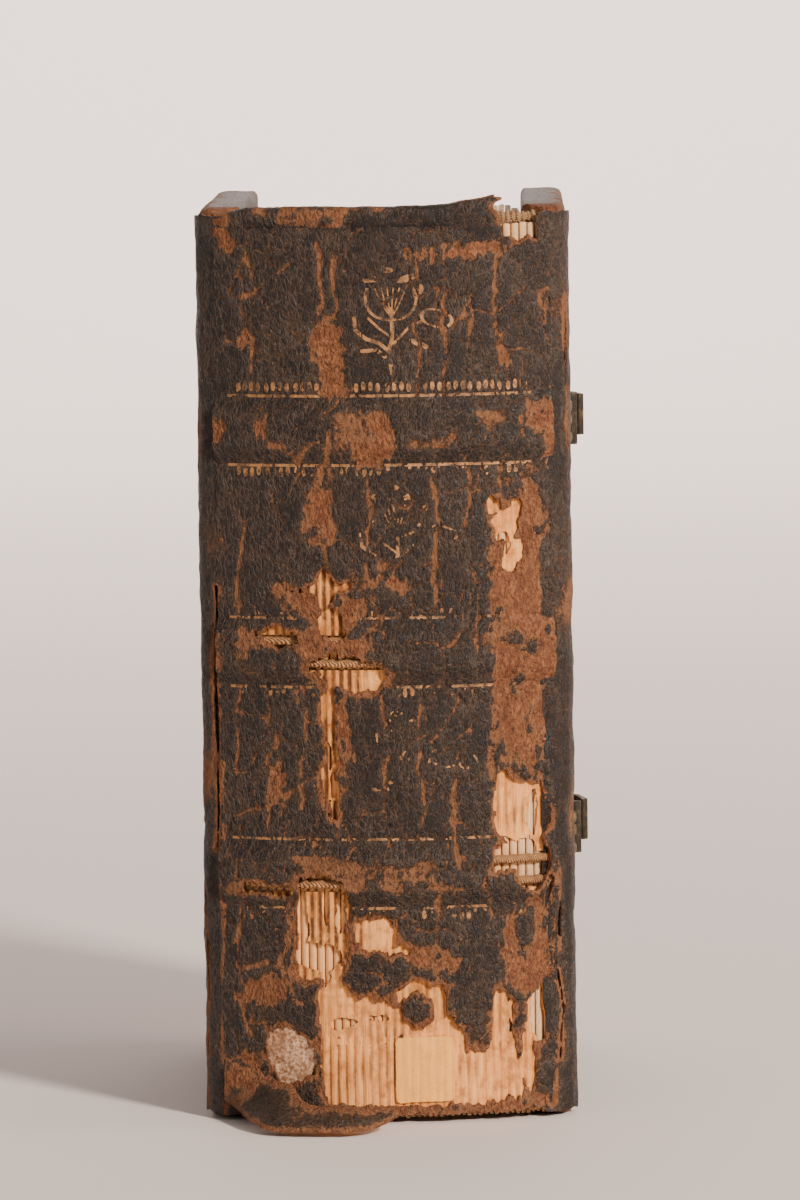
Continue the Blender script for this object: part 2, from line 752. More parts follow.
@dataclass(frozen=True)
class Loss:
    """A place where leather is gone, as a turned oval or rounded box at (s, z)."""

    s: float
    z: float
    wide: float
    tall: float
    turn: float = 0.0
    power: float = 2.2

    def depth(self, s: Array, z: Array) -> Array:
        """Signed distance in millimetres, about: negative inside."""
        c, k = math.cos(math.radians(self.turn)), math.sin(math.radians(self.turn))
        x, y = (s - self.s) * c + (z - self.z) * k, (z - self.z) * c - (s - self.s) * k
        ratio = (
            np.abs(x / self.wide) ** self.power + np.abs(y / self.tall) ** self.power
        ) ** (1 / self.power)
        return (ratio - 1) * min(self.wide, self.tall) * 1.15


@dataclass(frozen=True)
class Crack:
    """A crack or rubbed line through a few points, with its half width."""

    half: float
    points: tuple[tuple[float, float], ...]

    def depth(self, s: Array, z: Array) -> Array:
        """Signed distance in millimetres: negative inside."""
        best = np.full(np.broadcast(s, z).shape, 99.0)
        for (s0, z0), (s1, z1) in zip(self.points[:-1], self.points[1:]):
            ds, dz = s1 - s0, z1 - z0
            t = np.clip(((s - s0) * ds + (z - z0) * dz) / (ds * ds + dz * dz), 0, 1)
            best = np.minimum(best, np.hypot(s - s0 - t * ds, z - z0 - t * dz))
        return best - self.half


def nearest(shapes: Sequence, s: Array, z: Array) -> Array:
    """Smallest signed distance to any of the shapes."""
    best = np.full(np.broadcast(s, z).shape, 99.0)
    for shape in shapes:
        best = np.minimum(best, shape.depth(s, z))
    return best


HOLES = tuple(Loss(*row) for row in (
    (22.6, 109.4, 3.0, 3.2, 12), (23.9, 104.0, 1.9, 3.4, -12), (20.9, 112.2, 1.4, 2.0),
    (24.6, 111.6, 1.1, 1.9), (-11.5, 98.0, 5.0, 1.1, 4, 1.6), (-11.2, 97.7, 2.4, 3.2, 0, 1.3),
    (-9.8, 91.5, 2.3, 3.2, 10, 1.8), (-20.1, 89.3, 4.4, 1.5, -6, 1.6), (-6.1, 82.5, 6.8, 2.9, -8, 2.0),
    (-11.0, 84.6, 3.0, 1.5, 20), (-10.6, 70.6, 1.2, 12.4, 1.5, 2.6), (-9.4, 60.5, 1.0, 3.6, -6),
    (25.6, 56.2, 5.4, 5.6, 6, 2.6), (21.8, 61.4, 1.4, 2.6, 8), (27.1, 47.6, 3.4, 5.4, -8, 2.4),
    (22.6, 48.4, 3.4, 2.6, 10), (30.2, 40.0, 0.9, 6.0, 4), (-12.6, 35.9, 5.0, 9.8, -2, 5.0),
    (-22.6, 43.0, 5.0, 1.2, -3, 1.9), (-2.9, 34.9, 3.6, 3.2, 0, 4.0), (1.8, 31.6, 1.5, 0.8),
    (-6.4, 13.6, 6.5, 9.8, 0, 5.0), (-10.2, 22.6, 3.0, 3.4, 8, 3.0), (-1.4, 18.6, 3.4, 4.4, 0, 3.0),
    (6.0, 20.6, 4.9, 5.6, 0, 3.0), (8.6, 24.6, 2.0, 1.5), (7.0, 9.6, 18.6, 6.4, 0, 9.0),
    (11.4, 15.4, 2.0, 5.0), (20.4, 11.6, 5.6, 8.6, 0, 3.4), (21.2, 19.0, 2.2, 5.0, 4, 1.6),
    (28.6, 19.4, 2.9, 5.2, -14, 2.4), (26.0, 10.6, 1.6, 5.8, 0, 3.0), (-18.8, 12.6, 4.4, 5.4, 24, 2.2),
    (29.0, 163.6, 6.4, 2.4, 4, 2.4),
))
KEPT = tuple(Loss(*row) for row in (
    (5.2, 20.9, 2.9, 3.1, 8, 2.0), (-4.9, 27.6, 1.9, 3.6, 6, 2.4), (-1.2, 26.4, 1.6, 3.9, 0, 2.4),
    (2.2, 27.9, 1.7, 2.9, 0, 2.4), (16.0, 19.6, 2.7, 7.2, 6, 2.2), (13.2, 22.4, 1.9, 4.6, 0, 2.0),
    (24.5, 18.2, 0.9, 4.8, -4, 2.2), (25.5, 36.0, 2.3, 5.4, 0, 3.0), (-13.3, 3.6, 1.2, 2.2, -8, 1.8),
))
RUBBED = tuple(Loss(*row) for row in (
    (25.9, 91.1, 6.6, 27.5, 1, 3.0), (-11.9, 111.2, 3.0, 5.6), (-1.9, 125.2, 4.0, 5.2, 0, 2.8),
    (-9.7, 95.4, 7.6, 4.4, 4), (-8.6, 72.0, 2.6, 6.2), (17.6, 159.4, 8.6, 1.6, 2, 3.0),
    (-9.6, 140.2, 3.0, 7.4, 4), (-25.6, 143.8, 1.0, 1.8), (-31.5, 127.5, 1.7, 2.9), (-22.5, 128.4, 0.8, 1.8),
    (22.6, 140.2, 1.3, 2.7), (27.8, 127.5, 2.0, 3.6), (26.0, 31.5, 5.8, 8.5, 4, 2.2),
    (-30.6, 161.4, 2.4, 2.8), (31.4, 125.0, 1.9, 8.6, 0, 3), (-9.6, 88.4, 7.0, 4.0),
    (2.0, 99.0, 2.0, 4.0, 30), (-24.0, 24.0, 5.0, 2.4, 20), (9.0, 30.4, 5.4, 2.2, -16),
    (-20.6, 62.0, 1.2, 5.4, 6), (24.0, 3.4, 9.0, 1.6), (7.5, 3.2, 12.0, 1.5), (-26.4, 8.0, 4.4, 4.6, 30),
))
CRACKS = tuple(Crack(*row) for row in (
    (0.55, ((-28.4, 43.0), (-28.8, 31.0), (-27.2, 16.0))),
    (0.60, ((-19.6, 42.0), (-18.9, 36.0), (-19.8, 28.0), (-17.6, 24.0))),
    (0.80, ((-27.0, 28.2), (-22.0, 29.6), (-19.0, 28.0))),
    (0.55, ((-23.2, 27.0), (-24.0, 20.0), (-23.4, 14.0))),
    (0.30, ((-16.7, 157.1), (-20.2, 154.6), (-24.3, 151.6), (-27.6, 150.9))),
    (0.22, ((-29.3, 152.5), (-26.1, 147.4), (-24.3, 143.8), (-24.6, 139.2), (-24.3, 135.6))),
    (0.22, ((-22.7, 148.7), (-20.0, 142.0), (-18.9, 134.7))),
    (0.55, ((-11.6, 160.6), (-11.0, 154.0), (-11.5, 147.5))),
    (0.40, ((-8.6, 158.6), (-9.0, 153.0), (-8.4, 147.0))),
    (0.28, ((6.2, 161.0), (6.0, 152.0), (6.8, 141.0), (6.1, 132.6))),
    (0.36, ((11.5, 160.2), (10.9, 149.0), (12.0, 139.0), (11.2, 133.0))),
    (0.26, ((15.6, 158.0), (16.2, 147.0), (15.4, 135.0))),
    (0.34, ((21.3, 159.6), (20.6, 150.0), (21.6, 141.0), (21.0, 131.6))),
    (0.45, ((31.3, 150.0), (31.0, 145.0), (31.4, 138.0))),
    (0.55, ((-9.2, 127.5), (-10.3, 121.0), (-11.6, 116.8))),
    (0.45, ((-11.4, 106.0), (-10.3, 101.0), (-10.6, 96.0))),
    (0.30, ((-28.6, 118.0), (-26.9, 109.0), (-28.0, 99.0), (-27.1, 94.0))),
    (0.24, ((-20.9, 117.4), (-19.4, 110.0), (-20.3, 101.0))),
    (0.28, ((-3.0, 118.6), (-2.2, 112.0), (-3.2, 104.0), (-2.4, 96.0))),
    (0.26, ((8.9, 118.0), (9.7, 109.0), (8.7, 101.0), (9.5, 93.0))),
    (0.32, ((15.6, 119.0), (15.0, 108.0), (16.1, 97.0), (15.4, 88.0))),
    (0.40, ((-22.4, 79.6), (-21.2, 70.0), (-22.3, 61.0), (-21.6, 52.0))),
    (0.24, ((-16.0, 79.0), (-15.1, 69.0), (-16.0, 58.0))),
    (0.30, ((-0.6, 78.6), (0.3, 68.0), (-0.7, 58.0), (0.1, 51.0))),
    (0.26, ((6.4, 80.0), (5.7, 70.0), (6.8, 60.0), (6.0, 52.6))),
    (0.36, ((12.6, 80.4), (13.4, 69.0), (12.2, 59.0), (13.1, 47.0))),
    (0.30, ((19.6, 79.0), (18.8, 71.0), (19.7, 63.0))), (0.28, ((-21.4, 44.0), (-17.4, 41.8))),
    (0.30, ((8.2, 46.6), (9.0, 38.0), (8.1, 30.0), (9.3, 24.0))),
    (0.34, ((17.6, 45.0), (18.4, 37.0), (17.4, 28.0))),
    (0.30, ((-27.6, 79.0), (-28.6, 66.0), (-27.4, 54.0), (-28.4, 45.0))),
    (0.26, ((-23.0, 22.0), (-18.8, 23.6), (-16.2, 22.0))),
))


class SpineDamage:
    """What is left of the spine leather, as fields over (s, z)."""

    def __init__(self, shape: SpineRound) -> None:
        """Keeps the shape of the spine."""
        self.shape = shape

    def ragged(self, s: Array, z: Array) -> Array:
        """Noise that tears the edges, longer along the spine than across it."""
        coarse = waves(s * 1.5, z, 4.2, 11, 4) * 0.62
        return coarse + waves(
            s * 3.0, z * 0.9, 1.7, 12, 3
        ) * 0.42 + waves(s * 3.4, z * 0.5, 2.2, 13, 2) * 0.24

    def left(self, s: Array, z: Array) -> Array:
        """Positive where leather is left: the distance to its torn edge."""
        noise = self.ragged(s, z)
        holes = nearest(HOLES, s, z) + noise
        kept = -(nearest(KEPT, s, z) + 0.8 * noise)
        ends = np.minimum(
            z - self.shape.bottom - 0.3 - 0.6 * np.abs(noise), self.shape.top + 0.4 - z + 0.5 * noise
        )
        return np.minimum(np.maximum(holes, kept), ends)

    def bare(self, s: Array, z: Array) -> Array:
        """Positive where the grain layer is rubbed away, negative in sound leather."""
        rim = 0.75 + 0.75 * waves(s, z, 3.0, 21, 2) - self.left(s, z)
        rim = rim - 3 * step(159.5, 162.0, z) * step(25, 22, s)
        worn = -nearest(RUBBED, s, z) + 1.5 * self.ragged(s + 3, z) + 0.7 * waves(s * 1.3, z, 1.2, 22, 2)
        worn = np.minimum.reduce([worn, 1.7 + 2.8 * waves(s * 1.2, z, 3.6, 23, 3), nearest(KEPT, s, z) + 0.6])
        bend = 0.7 * waves(z, s * 0.3, 5.0, 31, 3)
        line = np.minimum(
            -1.7 * nearest(CRACKS, s + bend, z) - 0.12 + 0.8 * waves(s * 1.5, z * 0.6, 3.0, 33, 3), 0.4
        )
        network = 0.9 - 26 * cell_edges(
            s + 1.2 * waves(s, z, 6, 41, 2), z + 1.5 * waves(s, z, 7, 42, 2), 5.2, 9.5, 43
        )
        network = np.minimum(network, 1.5 * waves(s, z, 13.0, 44, 2) + 0.1)
        ridge = -1.1 + 1.5 * step(
            0.55, 0.95, self.shape.rise(z) / self.shape.bulge
        ) * step(-0.2, 0.7, waves(s, z, 6.5, 51, 3))
        together = np.maximum.reduce([rim, worn, line, 0.55 * network, ridge])
        return np.clip(together, -3, 2.4)

    def radius(self, s: Array, z: Array) -> Array:
        """Outer radius of the leather, in millimetres."""
        left = self.left(s, z)
        bare = step(-0.15, 0.35, self.bare(s, z) + 0.5 * waves(s, z, 1.3, 61, 2))
        swell = 0.20 * waves(s, z, 15, 62, 2) + 0.07 * waves(s * 1.6, z, 3.6, 63, 3)
        crease = -0.16 * step(0.05, 0.0, cell_edges(s + waves(s, z, 5, 64, 2), z, 3.4, 7.5, 65))
        curl = 0.34 * step(1.7, 0.2, left) * step(-0.1, 0.8, waves(s, z, 5.5, 66, 2))
        thin = -0.42 * step(1.3, 0.0, left) * step(0.1, -0.7, waves(s, z, 5.5, 66, 2))
        rules = np.zeros(np.shape(s))
        for height in self.rules():
            rules -= 0.12 * step(0.55, 0.2, np.abs(z - height - 0.12 * waves(s, z * 0, 9, 67, 1)))
        return self.shape.leather + self.shape.rise(z) + swell + crease + curl + thin + rules - 0.30 * bare

    def rules(self) -> tuple[float, ...]:
        """Heights of the tooled lines that border the bands."""
        reach = self.shape.band_width / 2 + 1.3
        return tuple(band + side * reach for band in self.shape.bands for side in (-1, 1))


# ---- finishes of this book

@dataclass
class Finishes:
    """Every material of the book, by the piece that wears it."""

    effects: Effects = field(default_factory=Effects)

    def __post_init__(self) -> None:
        """Builds the materials."""
        e = self.effects
        self.spine = OldLeather("spine_calf").make(e)
        self.flap = OldLeather("tail_calf", dark=(0.010, 0.0065, 0.005), dull=(0.030, 0.017, 0.010)).make(e)
        self.board = OldLeather(
            "board_calf", dark=(0.010, 0.0075, 0.0066), dull=(0.022, 0.015, 0.011), wear=-0.2,
        ).make(e)
        self.strap = OldLeather(
            "strap_calf", dark=(0.03, 0.015, 0.009), dull=(0.07, 0.034, 0.018), wear=0.1,
        ).make(e)
        self.joint = OldLeather("joint_calf", dark=(0.008, 0.0058, 0.005)).make(e)
        self.leaves = OldPaper(
            "leaf_edges", pale=(0.82, 0.57, 0.34), warm=(0.66, 0.40, 0.20), soiled=0.4,
            streak=(5.0, 0.12, 0.06),
        ).make(e)
        self.lining = OldPaper(
            "spine_vellum", pale=(0.95, 0.46, 0.15), warm=(0.72, 0.26, 0.065), soil=(0.13, 0.045, 0.015),
            soiled=0.85, streak=(2.0, 2.0, 0.10),
        ).make(e)
        self.clean = OldPaper(
            "clean_vellum", pale=(0.93, 0.46, 0.11), warm=(0.88, 0.38, 0.07), soiled=0.35,
        ).make(e)
        self.mould = OldPaper(
            "grey_bloom", pale=(0.66, 0.42, 0.27), warm=(0.22, 0.09, 0.035), soiled=1.0,
            streak=(1.0, 1.0, 1.0),
        ).make(e)
        self.endpaper = OldPaper(
            "endpapers", pale=(0.68, 0.55, 0.38), warm=(0.5, 0.36, 0.2), soiled=0.35, streak=(1.0, 0.2, 1.0),
        ).make(e)
        self.cord = Thread("flax_cord").make(e)
        self.silk = Thread(
            "faded_silk", pale=(0.62, 0.38, 0.19), deep=(0.28, 0.13, 0.05), lay=(2.0, 2.0, 6.0),
        ).make(e)
        self.brass = OldMetal(
            "old_brass", bright=(0.13, 0.09, 0.05), tarnish=(0.020, 0.016, 0.012), worn=0.40,
        ).make(e)
        self.nail = OldMetal(
            "nail_head_brass", bright=(0.30, 0.20, 0.09), tarnish=(0.04, 0.027, 0.016),
        ).make(e)
        self.gilt = OldMetal(
            "worn_gilt", bright=(0.40, 0.185, 0.065), tarnish=(0.030, 0.019, 0.013), rough=0.45, worn=0.50,
            metal=0.35,
        ).make(e)
        self.wood = OldWood("oak").make(e)
        self.peg = OldWood("peg_oak", light=(0.32, 0.19, 0.09)).make(e)


def dress(node: str, material: bpy.types.Material) -> None:
    """Gives a carried-over node a better material."""
    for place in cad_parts[node].material_slots:
        place.material = material


def settle(obj: Obj, body: str, slot: str, *nodes: str) -> Obj:
    """Lets a finished piece ride on its body, names its finish and what it stands for."""
    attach(obj, body)
    if nodes:
        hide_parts(*nodes)
    LOG.info("%s rides on %s", obj.name, body)
    return obj


# ---- geometry nodes

class Repeats:
    """Geometry Nodes trees that set small pieces along a line of points."""

    @staticmethod
    def tree(name: str, sizes: dict[str, float]) -> tuple[Tree, dict[str, Socket]]:
        """Starts a tree with a geometry input, named sizes and a material."""
        tree = bpy.data.node_groups.new(name, "GeometryNodeTree")
        tree.interface.new_socket(name="Geometry", in_out="INPUT", socket_type="NodeSocketGeometry")
        for key, value in sizes.items():
            tree.interface.new_socket(name=key, in_out="INPUT", socket_type=FLOAT).default_value = value
        tree.interface.new_socket(name="Finish", in_out="INPUT", socket_type="NodeSocketMaterial")
        tree.interface.new_socket(name="Geometry", in_out="OUTPUT", socket_type="NodeSocketGeometry")
        start = tree.nodes.new("NodeGroupInput")
        return tree, {socket.name: socket for socket in start.outputs}

    @staticmethod
    def close(tree: Tree, shape: Socket, finish: Socket) -> None:
        """Ends a tree in Realize Instances and Set Material."""
        real = tree.nodes.new("GeometryNodeRealizeInstances")
        cover = tree.nodes.new("GeometryNodeSetMaterial")
        end = tree.nodes.new("NodeGroupOutput")
        tree.links.new(shape, real.inputs[0])
        tree.links.new(real.outputs[0], cover.inputs["Geometry"])
        tree.links.new(finish, cover.inputs["Material"])
        tree.links.new(cover.outputs[0], end.inputs[0])

    @staticmethod
    def run(host: Obj, tree: Tree, inputs: dict[str, object], name: str) -> Obj:
        """Runs a tree on a host object and returns its result as a plain mesh."""
        modifier = host.modifiers.new("repeat", "NODES")
        modifier.node_group = tree
        for item in tree.interface.items_tree:
            if item.item_type == "SOCKET" and item.in_out == "INPUT" and item.name in inputs:
                modifier[item.identifier] = inputs[item.name]
        graph = bpy.context.evaluated_depsgraph_get()
        mesh = bpy.data.meshes.new_from_object(host.evaluated_get(graph))
        host.modifiers.remove(modifier)
        result = bpy.data.objects.new(name, mesh)
        mesh.name = name
        bpy.context.scene.collection.objects.link(result)
        bpy.data.objects.remove(host)
        return result

    @staticmethod
    def line(name: str, points: Array) -> Obj:
        """A poly curve through points in millimetres, as a host."""
        curve = bpy.data.curves.new(name, "CURVE")
        curve.dimensions = "3D"
        spline = curve.splines.new("POLY")
        spline.points.add(len(points) - 1)
        flat = np.concatenate([points * MM, np.ones((len(points), 1))], axis=1)
        spline.points.foreach_set("co", flat.ravel().astype(np.float32))
        obj = bpy.data.objects.new(name, curve)
        bpy.context.scene.collection.objects.link(obj)
        return obj

    @classmethod
    def wound_tree(cls) -> Tree:
        """Slanted rings of thread wound closely on a core that follows a line."""
        tree, i = cls.tree("wound_thread", {"Pitch": 0.0012, "Ring": 0.0009, "Thread": 0.0005, "Slant": 0.5})
        new = tree.nodes.new
        spaced = new("GeometryNodeResampleCurve")
        spaced.mode = "LENGTH"
        tree.links.new(i["Geometry"], spaced.inputs["Curve"])
        tree.links.new(i["Pitch"], spaced.inputs["Length"])
        ring = new("GeometryNodeCurvePrimitiveCircle")
        ring.inputs["Resolution"].default_value = 18
        tree.links.new(i["Ring"], ring.inputs["Radius"])
        small = new("GeometryNodeCurvePrimitiveCircle")
        small.inputs["Resolution"].default_value = 8
        tree.links.new(i["Thread"], small.inputs["Radius"])
        torus = new("GeometryNodeCurveToMesh")
        tree.links.new(ring.outputs[0], torus.inputs["Curve"])
        tree.links.new(small.outputs[0], torus.inputs["Profile Curve"])
        tangent = new("GeometryNodeInputTangent")
        align = new("FunctionNodeAlignRotationToVector")
        align.axis = "Z"
        tree.links.new(tangent.outputs[0], align.inputs["Vector"])
        tilt = new("ShaderNodeCombineXYZ")
        tree.links.new(i["Slant"], tilt.inputs["X"])
        lean = new("FunctionNodeRotateRotation")
        lean.rotation_space = "LOCAL"
        turn = new("FunctionNodeEulerToRotation")
        tree.links.new(tilt.outputs[0], turn.inputs[0])
        tree.links.new(align.outputs[0], lean.inputs["Rotation"])
        tree.links.new(turn.outputs[0], lean.inputs["Rotate By"])
        wobble = new("FunctionNodeRandomValue")
        wobble.data_type = "FLOAT"
        wobble.inputs["Min"].default_value = 0.86
        wobble.inputs["Max"].default_value = 1.12
        wobble.inputs["Seed"].default_value = 5
        place = new("GeometryNodeInstanceOnPoints")
        tree.links.new(spaced.outputs[0], place.inputs["Points"])
        tree.links.new(torus.outputs[0], place.inputs["Instance"])
        tree.links.new(lean.outputs[0], place.inputs["Rotation"])
        tree.links.new([o for o in wobble.outputs if o.enabled][0], place.inputs["Scale"])
        profile = new("GeometryNodeCurvePrimitiveCircle")
        profile.inputs["Resolution"].default_value = 14
        tree.links.new(i["Ring"], profile.inputs["Radius"])
        core = new("GeometryNodeCurveToMesh")
        core.inputs["Fill Caps"].default_value = True
        tree.links.new(i["Geometry"], core.inputs["Curve"])
        tree.links.new(profile.outputs[0], core.inputs["Profile Curve"])
        both = new("GeometryNodeJoinGeometry")
        tree.links.new(place.outputs[0], both.inputs[0])
        tree.links.new(core.outputs[0], both.inputs[0])
        cls.close(tree, both.outputs[0], i["Finish"])
        return tree

    @classmethod
    def stud_tree(cls) -> Tree:
        """Domed heads that stand on points along their stored normals."""
        tree, i = cls.tree("domed_studs", {"Radius": 0.0011, "Height": 0.0006})
        new = tree.nodes.new
        ball = new("GeometryNodeMeshUVSphere")
        ball.inputs["Segments"].default_value = 20
        ball.inputs["Rings"].default_value = 12
        ball.inputs["Radius"].default_value = 1.0
        facing = new("GeometryNodeInputNamedAttribute")
        facing.data_type = "FLOAT_VECTOR"
        facing.inputs["Name"].default_value = "facing"
        align = new("FunctionNodeAlignRotationToVector")
        align.axis = "Z"
        tree.links.new([o for o in facing.outputs if o.enabled][0], align.inputs["Vector"])
        size = new("ShaderNodeCombineXYZ")
        tree.links.new(i["Radius"], size.inputs["X"])
        tree.links.new(i["Radius"], size.inputs["Y"])
        tree.links.new(i["Height"], size.inputs["Z"])
        place = new("GeometryNodeInstanceOnPoints")
        tree.links.new(i["Geometry"], place.inputs["Points"])
        tree.links.new(ball.outputs[0], place.inputs["Instance"])
        tree.links.new(align.outputs[0], place.inputs["Rotation"])
        tree.links.new(size.outputs[0], place.inputs["Scale"])
        smooth = new("GeometryNodeSetShadeSmooth")
        tree.links.new(place.outputs[0], smooth.inputs[0])
        cls.close(tree, smooth.outputs[0], i["Finish"])
        return tree


# ---- leaves and sewing

def sheet_path(points: Sequence[tuple[float, float]], samples: Array) -> Array:
    """Smooth line through plan points, read at distances from its start.

    Args:
        points: pairs of plan coordinates, in millimetres.
        samples: distances along the line, in millimetres.

    Returns:
        Points and outward normals: x, y, normal x and normal y in the last axis.
    """
    p = np.array(points, float)
    for _ in range(3):
        cut = np.empty((2 * len(p) - 2, 2))
        cut[0::2] = 0.75 * p[:-1] + 0.25 * p[1:]
        cut[1::2] = 0.25 * p[:-1] + 0.75 * p[1:]
        p = np.concatenate([p[:1], cut, p[-1:]])
    run = np.concatenate([[0], np.cumsum(np.hypot(*np.diff(p, axis=0).T))])
    slope = np.gradient(p, run, axis=0)
    slope /= np.linalg.norm(slope, axis=1)[:, None]
    rows = [np.interp(samples, run, column) for column in (p[:, 0], p[:, 1], slope[:, 1], -slope[:, 0])]
    return np.stack(rows, axis=-1)


@dataclass
class TextBlock:
    """The sewn gatherings, their linings and the endpapers."""

    shape: SpineRound
    damage: SpineDamage
    finish: Finishes
    count: int = 40
    per_piece: int = 4
    thick: float = 49.8
    shoulder: float = 4.5
    gap: float = 0.05
    hollow: float = 6.2
    bend: float = 3.0
    seed: int = 71

    def __post_init__(self) -> None:
        """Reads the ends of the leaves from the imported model."""
        self.half = self.thick / 2
        self.pitch = self.thick / self.count
        self.spread = (self.half + self.shoulder) / self.half
        self.front = self.shape.axis_y - self.shape.folds
        self.tail, self.head = low("gatherings_05")[2], high("gatherings_05")[2]
        self.fore = high("first_leaves")[1]
        reach = self.half + self.shoulder
        self.bend_start = self.shape.folds - math.sqrt(self.shape.folds**2 - reach**2) + 0.15

    def fan(self, y: Array) -> Array:
        """Width factor that bends the leaves into the shoulders at the depth y."""
        return 1 + (self.spread - 1) * step(0.0, 1.0, (self.bend_start + self.bend - y) / self.bend)

    def gathering(self, i: int) -> tuple[Array, Array]:
        """Points and faces of one gathering, with a rounded fold and uneven edges."""
        middle = self.half - (i + 0.5) * self.pitch
        h = (self.pitch - self.gap) / 2
        lattice_points, faces = box_lattice(6, 14, 80)
        u = lattice_points[:, 0] / 3 - 1
        v = (lattice_points[:, 1] / 14) ** 1.7
        w = lattice_points[:, 2] / 80
        u = u * (1 - 0.04 * np.abs(u))
        x = middle + u * h * 0.98
        px = x * self.spread
        uneven = lattice(np.array([i]), np.array([3]), self.seed)[0] - 0.5
        fold = self.shape.folds - np.sqrt(self.shape.folds**2 - px**2)
        fold = fold + h * (
            1 - np.sqrt(np.clip(1 - u * u, 0, 1))
        ) + 0.05 * waves(w * 161, px, 4.0, self.seed + 1, 2)
        root = i in (0, self.count - 1)
        fore = self.fore - self.front - self.hollow * (1 - (x / self.half) ** 2)
        fore = fore + 0.35 * uneven - 0.16 * u * u - 0.2 + 0.16 * waves(w * 161, x * 9, 9.0, self.seed + 2, 3)
        if root:
            fore = np.full(x.shape, self.bend_start + self.bend + 0.1)
        y = fold + (fore - fold) * v
        end = 0.28 * (lattice(np.array([i]), np.array([9]), self.seed)[0] - 0.5) - 0.14 * u * u - 0.14
        ripple = 0.10 * waves(y, x * 7, 6.0, self.seed + 3, 3)
        edge = np.where(w == 1, end + ripple, 0) - np.where(w == 0, end + ripple, 0)
        z = self.tail + (self.head - self.tail) * w + edge
        return np.stack([x * self.fan(y), y + self.front, z], axis=-1), faces

    def leaves(self) -> None:
        """Builds the ten pieces of the block."""
        for piece in range(self.count // self.per_piece):
            points, faces, shift = [], [], 0
            for i in range(piece * self.per_piece, (piece + 1) * self.per_piece):
                p, f = self.gathering(i)
                points.append(p)
                faces.append(f + shift)
                shift += len(p)
            node = f"gatherings_{piece + 1:02d}"
            obj = new_object(f"leaves_of_{node}", np.concatenate(points) * MM, np.concatenate(faces), 60)
            depth = np.concatenate(points)[:, 1] - self.front
            put_values(obj, "aged", step(7.0, 1.5, depth))
            finish_with(obj, self.finish.leaves)
            settle(obj, "text_block", "leaf_paper", node)

    def torn(self, s: Array, z: Array) -> Array:
        """Positive where the spine linings are left."""
        places = tuple(Loss(*row) for row in (
            (-8.6, 18.4, 3.2, 1.0, 4), (-2.2, 19.6, 1.6, 0.7), (24.0, 49.3, 4.4, 2.6),
            (-13.4, 30.6, 4.8, 2.4, 6), (16.4, 8.0, 2.0, 6.4, 4), (-19.8, 13.2, 3.6, 3.4),
            (22.7, 106.4, 1.3, 2.6, 14), (-10.4, 66.0, 0.5, 5.0), (28.6, 20.0, 1.3, 5.4),
            (-2.6, 10.0, 1.5, 5.6, 4), (-9.6, 9.8, 0.9, 4.6, -3), (27.4, 57.0, 1.1, 3.6),
            (-16.4, 37.6, 0.7, 7.0, 2), (-11.8, 36.4, 0.5, 6.4, -1), (-9.0, 38.6, 0.6, 4.4),
            (23.4, 12.4, 0.6, 6.0, 3),
        ))
        noise = 0.9 * waves(s * 1.4, z, 3.4, 81, 4) + 0.25 * waves(s * 3, z, 1.0, 82, 2)
        return nearest(places, s, z) + noise * 0.8

    def pleats(self, s: Array) -> Array:
        """From 0 in the grooves between the folds to 1 on the folds."""
        x = self.shape.folds * np.sin(s / self.shape.leather) / self.spread / self.pitch
        return np.abs(np.cos(np.pi * x)) ** 0.6

    def linings(self) -> None:
        """Builds the pasted linings of the four panels."""
        for n in range(1, 5):
            node = f"spine_lining_{n}"
            bottom, top = low(node)[2], high(node)[2]

            def lift(s: Array, z: Array) -> Array:
                """How far the torn rims curl up."""
                return 0.30 * step(1.4, 0.1, self.torn(s, z)) * step(-0.2, 0.7, waves(s, z, 2.6, 83, 2))

            def groove(s: Array, z: Array) -> Array:
                """Dirt between the pleats, most at the left of the lowest band."""
                dirt = 0.45 + waves(s, z, 7, 85, 2) + 1.6 * step(-1, -8, s) * step(25, 29, z)
                return 1.5 * (1 - self.pleats(s)) * dirt

            def face(s: Array, z: Array) -> Array:
                """Outer side of the lining, pleated by the folds under it."""
                relief = 0.26 * self.pleats(s) + 0.10 * waves(s, z, 2.2, 84, 3) + lift(s, z)
                return self.shape.point(s, z, self.shape.folds + 0.28 + relief)

            def back(s: Array, z: Array) -> Array:
                """Inner side of the lining, on the folds."""
                return self.shape.point(s, z, self.shape.folds + 0.06 + 0.16 * self.pleats(s) + lift(s, z))

            skin = Skin(
                f"torn_{node}", np.arange(-31.2, 31.21, 0.40), np.arange(bottom, top, 0.55), face, back,
                self.torn,
                {"groove": groove},
            )
            obj = finish_with(skin.build(), self.finish.lining)
            settle(obj, "text_block", "spine_lining", node)

    def scraps(self) -> None:
        """Builds the clean vellum patch and the grey bloom that lie on the linings."""
        patch = Loss(6.4, 9.9, 5.4, 6.0, 0.6, 14.0)
        bloom = Loss(-19.0, 12.8, 5.6, 6.0, 10, 2.0)
        paper = Loss(7.2, 9.2, 20.6, 6.9, 0, 14.0)
        kinds = (
            ("vellum_patch", patch, 0.40, 0.10, 0.10, self.finish.clean),
            ("mould_crust", bloom, 0.42, 0.42, 0.10, self.finish.mould),
            ("tail_paper", paper, -0.36, 0.10, 0.38, self.finish.lining),
        )
        for name, outline, lift, lumps, pleated, material in kinds:
            def solid(s: Array, z: Array) -> Array:
                """Distance inside the ragged outline."""
                return (0.9 if lumps > 0.2 else 0.15) * waves(s, z, 1.9, 92, 3) - outline.depth(s, z)

